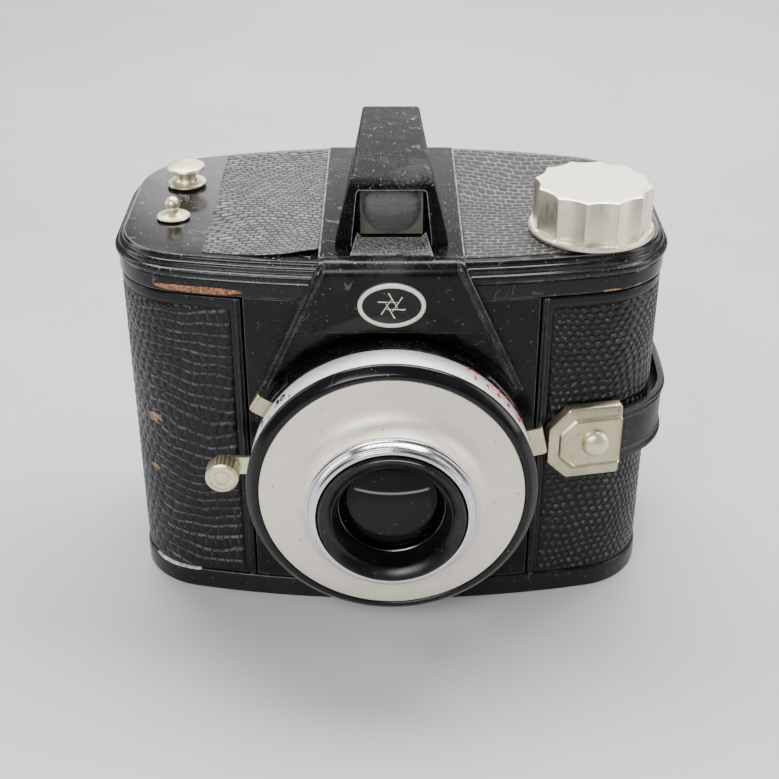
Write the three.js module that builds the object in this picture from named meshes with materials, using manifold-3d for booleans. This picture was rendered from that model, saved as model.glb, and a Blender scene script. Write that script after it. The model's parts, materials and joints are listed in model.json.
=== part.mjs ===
// Box camera for 6 x 9 cm roll film, as separate pieces. Millimetres, +Z up, the lens looks along -Y.
// The origin is the centre of the base's underside. +X is the photographer's left, where the winding knob is.
import * as THREE from "three";
import { mergeVertices } from "three/addons/utils/BufferGeometryUtils.js";
import Module from "manifold-3d";

const wasm = await Module();
wasm.setup();

// ---------------------------------------------------------------- driving dimensions
const GAP = 0.3; // clearance between neighbouring pieces

const HALF_WIDTH = 64; // plan of the covered wall
const HALF_DEPTH = 37.9;
const FRONT_BOW_R = 230;
const FRONT_CORNER_R = 18.3;
const BACK_BOW_R = 170;
const BACK_CORNER_R = 22;

const PLINTH_TOP = 5.6; // heights above the table
const WALL_BOTTOM = PLINTH_TOP + GAP;
const COVER_BOTTOM = 83.9;
const WALL_TOP = COVER_BOTTOM - 0.5;
const BEAD_Z = 89.25;
const COVER_TOP = 92.7;
const COVER_THICKNESS = 2.2;
const SHELF_LOW = 8.2; // the two shelves of the inner body hold the spools
const SHELF_HIGH = 78.5;
const SHELF_THICKNESS = 2;

const PANEL_HALF_WIDTH = 33.7; // smooth front panel between the ends of the wrap-around wall
const WALL_OPENING = 34.3;
const LEATHER_THICKNESS = 0.8;
const SHELL_INSIDE = -1.8; // offset of the steel wall's inner face from the covered wall

const LENS_Z = 43; // lens axis
const BARREL_R = 32.7;
const BARREL_INNER_R = 29.3;
const SCALE_RING_BACK_Y = -45.4;
const SCALE_RING_FRONT_Y = -52.4;
const FACE_Y = -55;
const FACE_R = 30.2;
const CHROME_RING_R = 19.6;
const CHROME_RING_Y = -64.2;
const LENS_TUBE_R = 16.5;
const LENS_TUBE_Y = -65.3;
const LEVER_Y = -43.1; // back face of the three flat levers inside the barrel
const LEVER_THICKNESS = 1;

const SPOOL_X = 46.4; // both spool axes, left and right
const SPOOL_Y = -18.2;
const SPOOL_FLANGE_R = 12.4;
const SPOOL_LENGTH = 65.7;
const SPOOL_BORE_R = 3.2;
const SPOOL_BOTTOM = 11.5;
const ROLLER_X = 49.5;
const ROLLER_Y = 20;

const KNOB_FLANGE_R = 14.6;
const KNOB_R = 13.3;
const KNOB_TOP = COVER_TOP + 11.9;
const KNOB_FLUTES = 12;

const STUD = { x: -51, y: 9.9 };
const CONTACT = { x: -51.7, y: -10.7 };

const FINDER_FRONT_Y = -29.9;
const FINDER_BACK_Y = 22;
const FINDER_TOP = 108.9;
const FINDER_TOP_HALF = 9.45;
const FINDER_BASE_HALF = 13;
const FINDER_TAPER = 0.24; // share of its width the finder loses from front to back
const STRIP_HALF_WIDTH = 16;
const STRIP_FRONT_Y = -35.7;
const SILL_BACK_Y = -27.2;

const APRON_FRONT_Y = -40.6;
const APRON_TOP = 94.2;
const APRON_TOP_HALF = 15.9;
const APRON_FLARE = 0.46; // half width gained per millimetre of height lost
const APRON_BOTTOM = 63.1;
const APRON_ARCH_R = 34.6; // round the barrel, with a dark gap between the two

const STRAP_Z = 45.4;
const STRAP_HALF_WIDTH = 7.1;
const STRAP_THICKNESS = 1.5;
const STRAP_FRONT_X = 45.5; // where each strap plate touches the wall
const STRAP_BACK_X = 40;

const WINDOW_Z = 26; // film number window in the back

const BUSH = { x: 0, y: -16 }; // tripod bush and lock key in the base
const LOCK = { x: 30, y: 0 };
const LOCK_KEY_R = 9;

// ---------------------------------------------------------------- materials
const material = (color, roughness, metalness = 0) =>
  new THREE.MeshStandardMaterial({ color, roughness, metalness });

const blackPlastic = material(0x131315, 0.28);
const blackMetal = material(0x17171a, 0.45, 0.5);
const leather = material(0x1a1a1b, 0.6);
const greyLeather = material(0x4a4845, 0.75);
const creamMetal = material(0xb9b292, 0.38, 0.85);
const satinSilver = material(0xcfcac0, 0.42, 0.8);
const chrome = material(0xc9cacc, 0.15, 1);
const steel = material(0x9a9da0, 0.35, 1);
const brass = material(0xb08d3f, 0.35, 1);
const glass = material(0x8fa0a8, 0.05);
const redGlass = material(0x8c1010, 0.15);
const felt = material(0x0e0e0e, 0.95);
const fibre = material(0x5a2a1c, 0.7);

// ---------------------------------------------------------------- geometry helpers
const rad = THREE.MathUtils.degToRad;
const camera = new THREE.Group();

// Position-only, welded, free of collapsed triangles, with its faces pointing out.
function clean(geometry) {
  let g = geometry.index ? geometry.toNonIndexed() : geometry.clone();
  g.deleteAttribute("normal");
  g.deleteAttribute("uv");
  g = mergeVertices(g, 1e-4);
  const p = g.attributes.position;
  const kept = [];
  let volume = 0;
  const corners = [new THREE.Vector3(), new THREE.Vector3(), new THREE.Vector3()];
  for (let i = 0; i < g.index.count; i += 3) {
    const t = [0, 1, 2].map((k) => g.index.getX(i + k));
    if (t[0] === t[1] || t[1] === t[2] || t[2] === t[0]) continue;
    t.forEach((v, k) => corners[k].fromBufferAttribute(p, v));
    volume += corners[0].dot(corners[1].clone().cross(corners[2]));
    kept.push(...t);
  }
  if (volume < 0) kept.reverse();
  g.setIndex(kept);
  return g;
}

// A three.js geometry, or a solid already made, as a manifold solid.
function solid(shape) {
  if (!shape.isBufferGeometry) return shape;
  const g = clean(shape);
  return new wasm.Manifold(
    new wasm.Mesh({ numProp: 3, vertProperties: g.attributes.position.array, triVerts: g.index.array })
  );
}

const join = (...shapes) => shapes.map(solid).reduce((a, b) => a.add(b));
const cut = (from, ...tools) => tools.map(solid).reduce((a, b) => a.subtract(b), solid(from));
const common = (a, b) => solid(a).intersect(solid(b));

// Adds a named piece to the camera.
function piece(name, shape, look) {
  let g;
  if (shape.isBufferGeometry) {
    g = clean(shape);
  } else {
    const m = shape.getMesh();
    g = new THREE.BufferGeometry();
    g.setAttribute("position", new THREE.BufferAttribute(m.vertProperties, 3));
    g.setIndex(new THREE.BufferAttribute(m.triVerts, 1));
  }
  const mesh = new THREE.Mesh(g, look);
  mesh.name = name;
  camera.add(mesh);
}

function box(x0, x1, y0, y1, z0, z1) {
  const g = new THREE.BoxGeometry(x1 - x0, y1 - y0, z1 - z0);
  return g.translate((x0 + x1) / 2, (y0 + y1) / 2, (z0 + z1) / 2);
}

function polygon(points) {
  return new THREE.Shape(points.map(([x, y]) => new THREE.Vector2(x, y)));
}

// A plan shape raised from z0 to z1.
function raise(shape, z0, z1, curveSegments = 4) {
  const g = new THREE.ExtrudeGeometry(shape, { depth: z1 - z0, bevelEnabled: false, curveSegments });
  return g.translate(0, 0, z0);
}

// A shape drawn in x and z, made solid from y0 (front) to y1 (back).
function deepen(shape, y0, y1, curveSegments = 8) {
  const g = new THREE.ExtrudeGeometry(shape, { depth: y1 - y0, bevelEnabled: false, curveSegments });
  return g.rotateX(Math.PI / 2).translate(0, y1, 0);
}

// A closed profile of [radius, height] pairs turned about a vertical axis.
function turn(profile, x, y, segments = 20) {
  const points = profile.map(([r, z]) => new THREE.Vector2(r, z));
  return new THREE.LatheGeometry(points, segments).rotateX(Math.PI / 2).translate(x, y, 0);
}

// A closed profile of [radius, y] pairs turned about the lens axis.
function turnLens(profile, segments = 32) {
  const points = profile.map(([r, y]) => new THREE.Vector2(r, y));
  return new THREE.LatheGeometry(points, segments).translate(0, 0, LENS_Z);
}

// Profiles: a full disc starts and ends on the axis, a ring closes on itself.
const disc = (r, a, b) => [[0, a], [r, a], [r, b], [0, b]];
const ring = (r0, r1, a, b) => [[r0, a], [r1, a], [r1, b], [r0, b], [r0, a]];

const rod = (r, x, y, z0, z1, segments = 16) => turn(disc(r, z0, z1), x, y, segments);

// A round bar along Y at any x and z.
const pinY = (r, x, z, y0, y1, segments = 16) =>
  new THREE.CylinderGeometry(r, r, y1 - y0, segments).translate(x, (y0 + y1) / 2, z);

// Narrows a solid that runs along Y, by the finder's taper.
function taper(geometry) {
  const p = geometry.attributes.position;
  for (let i = 0; i < p.count; i++) {
    const share = (p.getY(i) - FINDER_FRONT_Y) / (FINDER_BACK_Y - FINDER_FRONT_Y);
    p.setX(i, p.getX(i) * (1 - FINDER_TAPER * share));
  }
  return geometry;
}

// ---------------------------------------------------------------- plan outline
// Bowed front and back, straight sides and round corners. Every arc bulges outwards,
// so a parallel outline only changes the radii.
const FRONT_BOW_ANGLE = Math.asin((HALF_WIDTH - FRONT_CORNER_R) / (FRONT_BOW_R - FRONT_CORNER_R));
const BACK_BOW_ANGLE = Math.asin((HALF_WIDTH - BACK_CORNER_R) / (BACK_BOW_R - BACK_CORNER_R));
const FRONT_BOW_Y = FRONT_BOW_R - HALF_DEPTH;
const BACK_BOW_Y = HALF_DEPTH - BACK_BOW_R;
const FRONT_CORNER_Y = FRONT_BOW_Y - (FRONT_BOW_R - FRONT_CORNER_R) * Math.cos(FRONT_BOW_ANGLE);
const BACK_CORNER_Y = BACK_BOW_Y + (BACK_BOW_R - BACK_CORNER_R) * Math.cos(BACK_BOW_ANGLE);

function outline(offset) {
  const a = FRONT_BOW_ANGLE;
  const b = BACK_BOW_ANGLE;
  const s = new THREE.Shape();
  const fx = HALF_WIDTH - FRONT_CORNER_R;
  const bx = HALF_WIDTH - BACK_CORNER_R;
  const down = -Math.PI / 2;
  const up = Math.PI / 2;
  s.absarc(0, FRONT_BOW_Y, FRONT_BOW_R + offset, down - a, down + a, false);
  s.absarc(fx, FRONT_CORNER_Y, FRONT_CORNER_R + offset, down + a, 0, false);
  s.absarc(bx, BACK_CORNER_Y, BACK_CORNER_R + offset, 0, up - b, false);
  s.absarc(0, BACK_BOW_Y, BACK_BOW_R + offset, up - b, up + b, false);
  s.absarc(-bx, BACK_CORNER_Y, BACK_CORNER_R + offset, up + b, Math.PI, false);
  s.absarc(-fx, FRONT_CORNER_Y, FRONT_CORNER_R + offset, Math.PI, Math.PI * 1.5 - a, false);
  return s;
}

const slab = (offset, z0, z1) => raise(outline(offset), z0, z1);
const band = (outer, inner, z0, z1) => cut(slab(outer, z0, z1), slab(inner, z0 - 1, z1 + 1));

// A matrix that puts a flat fitting, drawn in x (along the wall) and z with its back at y = 0
// and its front towards -Y, against the wall at x. The face points away from the wall.
function onWall(x, atBack) {
  const r = atBack ? BACK_BOW_R : FRONT_BOW_R;
  const a = Math.asin(x / r);
  const y = atBack ? BACK_BOW_Y + r * Math.cos(a) : FRONT_BOW_Y - r * Math.cos(a);
  const turnBy = atBack ? Math.PI - a : a;
  return new THREE.Matrix4().makeRotationZ(turnBy).setPosition(x, y, 0);
}

// ---------------------------------------------------------------- top cover and what it carries
function topCover() {
  const outer = join(
    slab(0.3, COVER_BOTTOM, 91),
    slab(-0.9, 90.9, COVER_TOP),
    slab(0.9, BEAD_Z - 0.7, BEAD_Z + 0.7)
  );
  const recess = (x0, x1) => common(slab(-3, 91.9, COVER_TOP + 1), box(x0, x1, -50, 50, 90, 95));
  return cut(
    outer,
    slab(-1.9, COVER_BOTTOM - 1, COVER_TOP - COVER_THICKNESS),
    recess(-43, -STRIP_HALF_WIDTH - 0.3),
    recess(STRIP_HALF_WIDTH + 0.3, 70),
    rod(3.2, SPOOL_X, SPOOL_Y, 80, 100),
    rod(2.2, STUD.x, STUD.y, 80, 100),
    rod(2.5, CONTACT.x, CONTACT.y, 80, 100)
  );
}
piece("top_cover", topCover(), blackPlastic);

function topLeather(x0, x1) {
  return common(slab(-3.3, 92.2, 92.9), box(x0, x1, -50, 50, 90, 95));
}
piece("top_leather_left", topLeather(-42.7, -STRIP_HALF_WIDTH - 0.6), greyLeather);
piece(
  "top_leather_right",
  cut(topLeather(STRIP_HALF_WIDTH + 0.6, 70), rod(3.4, SPOOL_X, SPOOL_Y, 80, 100)),
  greyLeather
);

// The finder is a tapering tunnel on a flat strip, with a sill that slopes up to its front lens.
function finderHousing() {
  const base = COVER_TOP + GAP;
  const section = (top, bottom, height) =>
    polygon([[-bottom, base], [bottom, base], [bottom * 0.93, base + 7], [top, height],
      [-top, height], [-bottom * 0.93, base + 7]]);
  const trunk = taper(deepen(section(FINDER_TOP_HALF, FINDER_BASE_HALF, FINDER_TOP), FINDER_FRONT_Y, FINDER_BACK_Y));
  const tunnel = taper(deepen(
    polygon([[-9.2, base + 0.9], [9.2, base + 0.9], [7.7, FINDER_TOP - 1.8], [-7.7, FINDER_TOP - 1.8]]),
    FINDER_FRONT_Y - 1, FINDER_BACK_Y + 1));
  const strip = box(-STRIP_HALF_WIDTH, STRIP_HALF_WIDTH, STRIP_FRONT_Y, 33, base, base + 0.9);
  const sill = polygon([[STRIP_FRONT_Y, base + 0.5], [SILL_BACK_Y, base + 0.5], [SILL_BACK_Y, base + 1.9]]);
  const sillSolid = new THREE.ExtrudeGeometry(sill, { depth: 14, bevelEnabled: false })
    .rotateX(Math.PI / 2).rotateZ(Math.PI / 2).translate(-7, 0, 0);
  return join(strip, cut(trunk, tunnel), sillSolid);
}
piece("finder_housing", finderHousing(), blackPlastic);

// Each finder lens is a small pane with a bulging face, held in the tunnel with a little play.
function finderLens(y, half, z0, z1) {
  const pane = box(-half, half, y, y + 1.6, z0, z1);
  const bulge = new THREE.SphereGeometry(14, 24, 12).scale(1, 0.3, 1).translate(0, y + 3.4, (z0 + z1) / 2);
  return join(pane, common(bulge, box(-half + 0.5, half - 0.5, y - 3, y + 1, z0 + 0.5, z1 - 0.5)));
}
piece("finder_front_lens", finderLens(-25.8, 7.1, 95.2, 106.5), glass);
piece("finder_rear_lens", finderLens(17, 5.3, 94.4, 106.7), glass);

piece(
  "accessory_stud",
  turn([[0, 87], [1.8, 87], [1.8, 93], [4.85, 93], [4.85, 93.9], [2.6, 94.1], [2.6, 96.7],
    [4.75, 96.9], [4.75, 97.8], [0, 98.4]], STUD.x, STUD.y, 32),
  creamMetal
);
piece(
  "contact_pin",
  turn([[0, 85.4], [1, 85.4], [1, 93], [3.9, 93], [3.9, 93.5], [1.3, 93.9], [1.3, 95.5],
    [1.75, 96.2], [1.6, 97.2], [0, 98]], CONTACT.x, CONTACT.y, 24),
  creamMetal
);
piece(
  "contact_insulator",
  turn([[1.3, 88.6], [3.6, 88.6], [3.6, 90.2], [2.2, 90.2], [2.2, 92.6], [1.3, 92.6], [1.3, 88.6]],
    CONTACT.x, CONTACT.y),
  fibre
);
piece(
  "contact_spring",
  raise(polygon([[-53.7, -12.7], [-49.7, -12.7], [-30, -27.5], [-30, -30.5], [-32, -30.5], [-53.7, -15]]), 84.4, 84.9),
  brass
);
piece("light_seal", band(-2.2, -3.2, 84.2, 87), felt);

// The apron fills the step between the finder strip and the lens barrel, and arches round it.
function frontApron() {
  const low = APRON_TOP_HALF + APRON_FLARE * (APRON_TOP - APRON_BOTTOM);
  const face = deepen(
    polygon([[-low, APRON_BOTTOM], [low, APRON_BOTTOM], [APRON_TOP_HALF, APRON_TOP], [-APRON_TOP_HALF, APRON_TOP]]),
    APRON_FRONT_Y, APRON_FRONT_Y + 1.5);
  const lip = box(-APRON_TOP_HALF, APRON_TOP_HALF, APRON_FRONT_Y + 1, STRIP_FRONT_Y - GAP, COVER_TOP + GAP, APRON_TOP);
  return cut(join(face, lip), turnLens(disc(APRON_ARCH_R, -50, -30)));
}
piece("front_apron", frontApron(), blackPlastic);

// A plain oval medallion with no mark on it.
const badge = new THREE.Shape().absellipse(0, 84.6, 7.6, 5.4, 0, Math.PI * 2, false, 0);
piece("badge", deepen(badge, APRON_FRONT_Y - 1.1, APRON_FRONT_Y - GAP, 16), satinSilver);

// ---------------------------------------------------------------- inner body and film path
const COVER_POSTS = { left: [-22, 21], right: [22, 21] };
const postPlaces = Object.values(COVER_POSTS);
const SHELF_TOP = SHELF_HIGH + SHELF_THICKNESS;
const POST_TOP = COVER_TOP - COVER_THICKNESS - GAP;

// Front panel, two shelves, the webs that close off the spool chambers, and posts for the cover's screws.
function innerBody() {
  const panel = common(
    band(-0.3, -2.7, WALL_BOTTOM, COVER_BOTTOM - GAP),
    box(-PANEL_HALF_WIDTH, PANEL_HALF_WIDTH, -50, 0, 0, 100)
  );
  const shelves = [SHELF_LOW, SHELF_HIGH].map((z) => slab(-3.4, z, z + SHELF_THICKNESS));
  const ties = box(-31, 31, -35.5, -33, SHELF_LOW, SHELF_TOP);
  const webs = [-1, 1].map((s) => box(s * 32 - 1, s * 32 + 1, -35, -4, SHELF_LOW, SHELF_TOP));
  const posts = postPlaces.map(([x, y]) => rod(3, x, y, SHELF_TOP - 0.5, POST_TOP, 12));
  return cut(
    join(panel, ...shelves, ties, ...webs, ...posts),
    pinY(21, 0, LENS_Z, -45, -30, 40),
    rod(3.2, SPOOL_X, SPOOL_Y, 77, 82),
    ...postPlaces.map(([x, y]) => rod(1.6, x, y, 77, POST_TOP - 1, 10))
  );
}
piece("inner_body", innerBody(), blackPlastic);

for (const [side, [x, y]] of Object.entries(COVER_POSTS)) {
  const profile = [[0, 76.7], [2.6, 76.7], [2.6, 78.2], [1.3, 78.2], [1.3, 88], [0, 88]];
  piece(`cover_screw_${side}`, turn(profile, x, y, 10), steel);
}

// The light cone widens from the lens opening to the film gate, which trims its rear edge.
const GATE_FRONT_OFFSET = -9;
const GATE_BACK_OFFSET = -7;
function frustum(frontHalf, backHalf, ratio) {
  const g = new THREE.CylinderGeometry(backHalf * Math.SQRT2, frontHalf * Math.SQRT2, 60, 4);
  return g.rotateY(Math.PI / 4).scale(1, 1, ratio).translate(0, 3, LENS_Z);
}
piece(
  "light_cone",
  common(cut(frustum(14, 44.5, 0.68), frustum(12.8, 43.3, 0.67)), slab(GATE_FRONT_OFFSET - GAP, 5, 85)),
  blackMetal
);
piece(
  "film_gate",
  cut(
    common(band(GATE_BACK_OFFSET, GATE_FRONT_OFFSET, SHELF_LOW + SHELF_THICKNESS + GAP, SHELF_HIGH - GAP),
      box(-46, 46, 10, 60, 0, 100)),
    box(-42, 42, 10, 60, LENS_Z - 28, LENS_Z + 28)
  ),
  blackMetal
);

const SHELF_FLOOR = SHELF_LOW + SHELF_THICKNESS + GAP;
for (const [side, s] of [["left", -1], ["right", 1]]) {
  const profile = [[0, SHELF_FLOOR], [1, SHELF_FLOOR], [1, 12], [3.5, 12], [3.5, 76.5], [1, 76.5],
    [1, SHELF_HIGH - GAP], [0, SHELF_HIGH - GAP]];
  piece(`film_roller_${side}`, turn(profile, s * ROLLER_X, ROLLER_Y, 20), steel);
}

// A leaf under each spool carries a short pivot that enters the spool's bore.
function spoolLeaf(x) {
  const leaf = box(x - 4, x + 4, SPOOL_Y - 4, SPOOL_Y + 24, SHELF_FLOOR, SHELF_FLOOR + 0.5);
  return join(leaf, rod(2.8, x, SPOOL_Y, SHELF_FLOOR + 0.1, SHELF_FLOOR + 3.5));
}
piece("supply_spring", spoolLeaf(-SPOOL_X), steel);
piece("take_up_spring", spoolLeaf(SPOOL_X), steel);
piece(
  "supply_pivot",
  turn([[0, 73.5], [2.8, 74], [2.8, 77.2], [5, 77.2], [5, SHELF_HIGH - GAP], [0, SHELF_HIGH - GAP]], -SPOOL_X, SPOOL_Y),
  steel
);

const SPOOL_TOP = SPOOL_BOTTOM + SPOOL_LENGTH;
piece(
  "take_up_spool",
  turn([[SPOOL_BORE_R, SPOOL_BOTTOM], [SPOOL_FLANGE_R, SPOOL_BOTTOM], [SPOOL_FLANGE_R, SPOOL_BOTTOM + 1.2],
    [5.6, SPOOL_BOTTOM + 1.2], [5.6, SPOOL_TOP - 1.2], [SPOOL_FLANGE_R, SPOOL_TOP - 1.2],
    [SPOOL_FLANGE_R, SPOOL_TOP], [SPOOL_BORE_R, SPOOL_TOP], [SPOOL_BORE_R, SPOOL_BOTTOM]], SPOOL_X, SPOOL_Y, 32),
  blackMetal
);

// ---------------------------------------------------------------- winding knob, shaft and ratchet
function windKnob() {
  const base = COVER_TOP + 0.5;
  const body = turn([[0, base], [KNOB_FLANGE_R, base], [KNOB_FLANGE_R, base + 1.2], [KNOB_R + 0.3, base + 1.7],
    [KNOB_R, KNOB_TOP - 1.2], [KNOB_R - 1.2, KNOB_TOP], [0, KNOB_TOP]], SPOOL_X, SPOOL_Y, 48);
  const fluteR = 4.6;
  const flutes = [];
  for (let i = 0; i < KNOB_FLUTES; i++) {
    const a = (i / KNOB_FLUTES) * Math.PI * 2;
    const reach = KNOB_R + fluteR - 1.1;
    const [x, y] = [SPOOL_X + reach * Math.cos(a), SPOOL_Y + reach * Math.sin(a)];
    flutes.push(rod(fluteR, x, y, base + 1.9, KNOB_TOP + 1, 14));
  }
  return cut(body, ...flutes, rod(2.8, SPOOL_X, SPOOL_Y, base - 1, 100));
}
piece("wind_knob", windKnob(), creamMetal);

// The shaft ends in a flat blade that turns the spool.
piece(
  "wind_shaft",
  join(
    rod(2.5, SPOOL_X, SPOOL_Y, SPOOL_TOP + 0.6, 99.6),
    box(SPOOL_X - 2.7, SPOOL_X + 2.7, SPOOL_Y - 0.5, SPOOL_Y + 0.5, 73, SPOOL_TOP + 1)
  ),
  steel
);

const RATCHET_TEETH = 16;
function ratchetWheel() {
  const points = [];
  for (let i = 0; i < RATCHET_TEETH; i++) {
    const a = (i / RATCHET_TEETH) * Math.PI * 2;
    const next = ((i + 0.9) / RATCHET_TEETH) * Math.PI * 2;
    points.push([SPOOL_X + 6 * Math.cos(a), SPOOL_Y + 6 * Math.sin(a)]);
    points.push([SPOOL_X + 7.4 * Math.cos(next), SPOOL_Y + 7.4 * Math.sin(next)]);
  }
  return cut(raise(polygon(points), 82, 83.6), rod(2.8, SPOOL_X, SPOOL_Y, 80, 86));
}
piece("ratchet_wheel", ratchetWheel(), steel);
piece(
  "click_spring",
  raise(polygon([[SPOOL_X - 22, 0], [SPOOL_X - 18, 0], [SPOOL_X - 7.5, SPOOL_Y + 4], [SPOOL_X - 7.9, SPOOL_Y + 3.2],
    [SPOOL_X - 22, -3]]), 82, 83.6),
  steel
);

// ---------------------------------------------------------------- lens barrel and its rings
const LEVER_FRONT = LEVER_Y - LEVER_THICKNESS;

// A flat sector about the lens axis, from radius r0 to r1 and angle a0 to a1 in degrees.
// Angles run from +X towards +Z, as seen from the front.
function sector(r0, r1, a0, a1, y0, y1) {
  const s = new THREE.Shape();
  s.absarc(0, LENS_Z, r1, rad(a0), rad(a1), false);
  s.absarc(0, LENS_Z, r0, rad(a1), rad(a0), true);
  return deepen(s, y0, y1, 4);
}

// Each lever leaves the barrel at an angle, is half as wide as its spread either side, and travels.
const RELEASE = { angle: 178, spread: 4, travel: [0, 12] };
const SPEED = { angle: 150, spread: 3.7, travel: [-8, 8] };
const FOCUS = { angle: 12.6, spread: 6, travel: [0, 28] };
const SLOT_PLAY = 1.6; // degrees left free at each end of a slot

function barrel() {
  const wall = turnLens([[BARREL_INNER_R, -34.5], [BARREL_R, -34.5], [BARREL_R, SCALE_RING_BACK_Y + 0.3],
    [31, SCALE_RING_BACK_Y + 0.3], [31, SCALE_RING_FRONT_Y - 0.2], [30.1, SCALE_RING_FRONT_Y - 0.2], [30.1, -53.9],
    [17.2, -53.9], [17.2, -52.7], [BARREL_INNER_R, -52.7], [BARREL_INNER_R, -34.5]], 40);
  const slot = ({ angle, spread, travel: [least, most] }) => {
    const reach = spread + SLOT_PLAY;
    return sector(28, 36, angle + least - reach, angle + most + reach, LEVER_FRONT - GAP, LEVER_Y + GAP);
  };
  return cut(wall, slab(0, 0, 90), slot(RELEASE), slot(SPEED), slot(FOCUS));
}
piece("lens_barrel", barrel(), blackPlastic);
piece(
  "scale_ring",
  turnLens([[31.3, SCALE_RING_BACK_Y], [32.9, SCALE_RING_BACK_Y], [33.3, SCALE_RING_FRONT_Y],
    [31.3, SCALE_RING_FRONT_Y], [31.3, SCALE_RING_BACK_Y]], 40),
  satinSilver
);
piece(
  "bezel_ring",
  turnLens([[30.5, -52.8], [33.4, -52.8], [33.4, -53.2], [31.5, FACE_Y], [30.5, FACE_Y], [30.5, -52.8]], 40),
  blackPlastic
);
piece("face_plate", turnLens(ring(17.2, FACE_R, FACE_Y, FACE_Y + 0.8), 40), satinSilver);
piece(
  "chrome_ring",
  turnLens([[16.8, FACE_Y - GAP], [21.2, FACE_Y - GAP], [20.2, -56.6], [CHROME_RING_R, -59],
    [CHROME_RING_R, CHROME_RING_Y + 2.2], [18.4, CHROME_RING_Y + 0.6], [17.4, CHROME_RING_Y],
    [16.8, CHROME_RING_Y], [16.8, FACE_Y - GAP]], 36),
  chrome
);
piece(
  "lens_tube",
  turnLens([[13.3, -51.9], [LENS_TUBE_R, -51.9], [LENS_TUBE_R, LENS_TUBE_Y + 0.4], [16, LENS_TUBE_Y],
    [15.2, LENS_TUBE_Y], [12.5, -61.5], [12.2, -58.5], [13.3, -58.5], [13.3, -51.9]], 36),
  blackMetal
);
piece(
  "front_lens",
  turnLens([[0, -59.6], [4, -59.4], [8, -58.9], [11.6, -58.2], [13, -58.2], [13, -55.8], [11, -55.8],
    [6, -56.6], [0, -57]], 40),
  glass
);
piece("lens_retainer", turnLens(ring(11.2, 13, -55.5, -54.3), 32), blackMetal);

// ---------------------------------------------------------------- shutter, stops and levers
const SHUTTER_PIVOT_Z = LENS_Z + 15;
const STOPS_PIVOT_Z = LENS_Z - 14;
const STOP_SPACING = 42; // degrees between the two stops and the close-up lens
const PIVOT_R = 1.2;
const PIVOT_HOLE_R = 1.5;

// The plate carries two riveted pins, one for the shutter blade and one for the stops.
piece(
  "shutter_plate",
  join(
    cut(pinY(28.8, 0, LENS_Z, -41.2, -40.4, 36), pinY(7, 0, LENS_Z, -45, -38, 32)),
    pinY(PIVOT_R, 0, SHUTTER_PIVOT_Z, -42.9, -40.3),
    pinY(PIVOT_R, 0, STOPS_PIVOT_Z, -47.4, -40.3)
  ),
  blackMetal
);

// A fan-shaped plate about its own pivot, opening upwards (up true) or downwards.
function fan(pivotZ, r, halfAngle, up, y0, y1) {
  const middle = up ? Math.PI / 2 : -Math.PI / 2;
  const s = new THREE.Shape();
  s.absarc(0, pivotZ, r, middle - rad(halfAngle), middle + rad(halfAngle), false);
  s.absarc(0, pivotZ, 3.2, middle + rad(halfAngle + 60), middle + Math.PI * 2 - rad(halfAngle + 60), false);
  return cut(deepen(s, y0, y1), pinY(PIVOT_HOLE_R, 0, pivotZ, y0 - 1, y1 + 1));
}
piece("shutter_blade", fan(SHUTTER_PIVOT_Z, 21, 35, false, -42.3, -41.7), steel);

// Three openings: a large stop at rest, a small stop, and a seat for the close-up lens.
function onStops(step) {
  const a = rad(90 + step * STOP_SPACING);
  return [14 * Math.cos(a), STOPS_PIVOT_Z + 14 * Math.sin(a)];
}
const CLOSE_UP_R = 4.6;
function stopPlate() {
  const opening = (step, r) => pinY(r, ...onStops(step), -50, -40, 24);
  const s = new THREE.Shape();
  s.absarc(0, STOPS_PIVOT_Z, 20.5, rad(65), rad(90 + 2 * STOP_SPACING + 25), false);
  s.absarc(0, STOPS_PIVOT_Z, 3.2, rad(90 + 2 * STOP_SPACING + 25), rad(65 + 360), false);
  const plate = cut(deepen(s, -46.3, -45.7), pinY(PIVOT_HOLE_R, 0, STOPS_PIVOT_Z, -50, -40));
  return cut(plate, opening(0, 4.3), opening(1, 3.8), opening(2, CLOSE_UP_R + GAP));
}
piece("stop_plate", stopPlate(), blackMetal);
piece("close_up_lens", pinY(CLOSE_UP_R, ...onStops(2), -46.8, -45.2, 24), glass);

// Return spring: a small closed coil lying across the lower part of the shutter plate.
class Coil extends THREE.Curve {
  getPoint(t, target = new THREE.Vector3()) {
    const a = t * Math.PI * 2 * 7;
    return target.set(-4 - 12 * t, -43 + 0.8 * Math.cos(a), 20.5 + 0.8 * Math.sin(a));
  }
}
const wire = new THREE.Shape().absarc(0, 0, 0.25, 0, Math.PI * 2, false);
piece(
  "shutter_spring",
  new THREE.ExtrudeGeometry(wire, { steps: 56, curveSegments: 2, bevelEnabled: false, extrudePath: new Coil() }),
  steel
);

// Each lever slides round the lens axis in the barrel's groove and ends in a tab or arm outside.
const BUTTON_X = -39.3;
const BUTTON_Z = 44;
function releaseLever() {
  const { angle, spread } = RELEASE;
  const inside = sector(24, 30, angle - spread, angle + spread, LEVER_FRONT, LEVER_Y);
  const arm = box(BUTTON_X - 1.5, -28, LEVER_FRONT, LEVER_Y, BUTTON_Z - 2.2, BUTTON_Z + 2.2);
  return join(inside, arm);
}
piece("release_lever", releaseLever(), creamMetal);
piece("release_button", pinY(3.9, BUTTON_X, BUTTON_Z, -49.5, LEVER_FRONT - 0.3, 24), creamMetal);

// The tab's outer edge is folded back, towards the body.
const TAB_R = 36.4;
const TAB_FOLD = 1.6;
function tabLever({ angle, spread }) {
  const plate = sector(24, TAB_R, angle - spread, angle + spread, LEVER_FRONT, LEVER_Y);
  const fold = sector(TAB_R - 1, TAB_R, angle - spread, angle + spread, LEVER_FRONT, LEVER_Y + TAB_FOLD);
  return join(plate, fold);
}
piece("speed_lever", tabLever(SPEED), creamMetal);
piece("focus_lever", tabLever(FOCUS), creamMetal);

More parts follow.
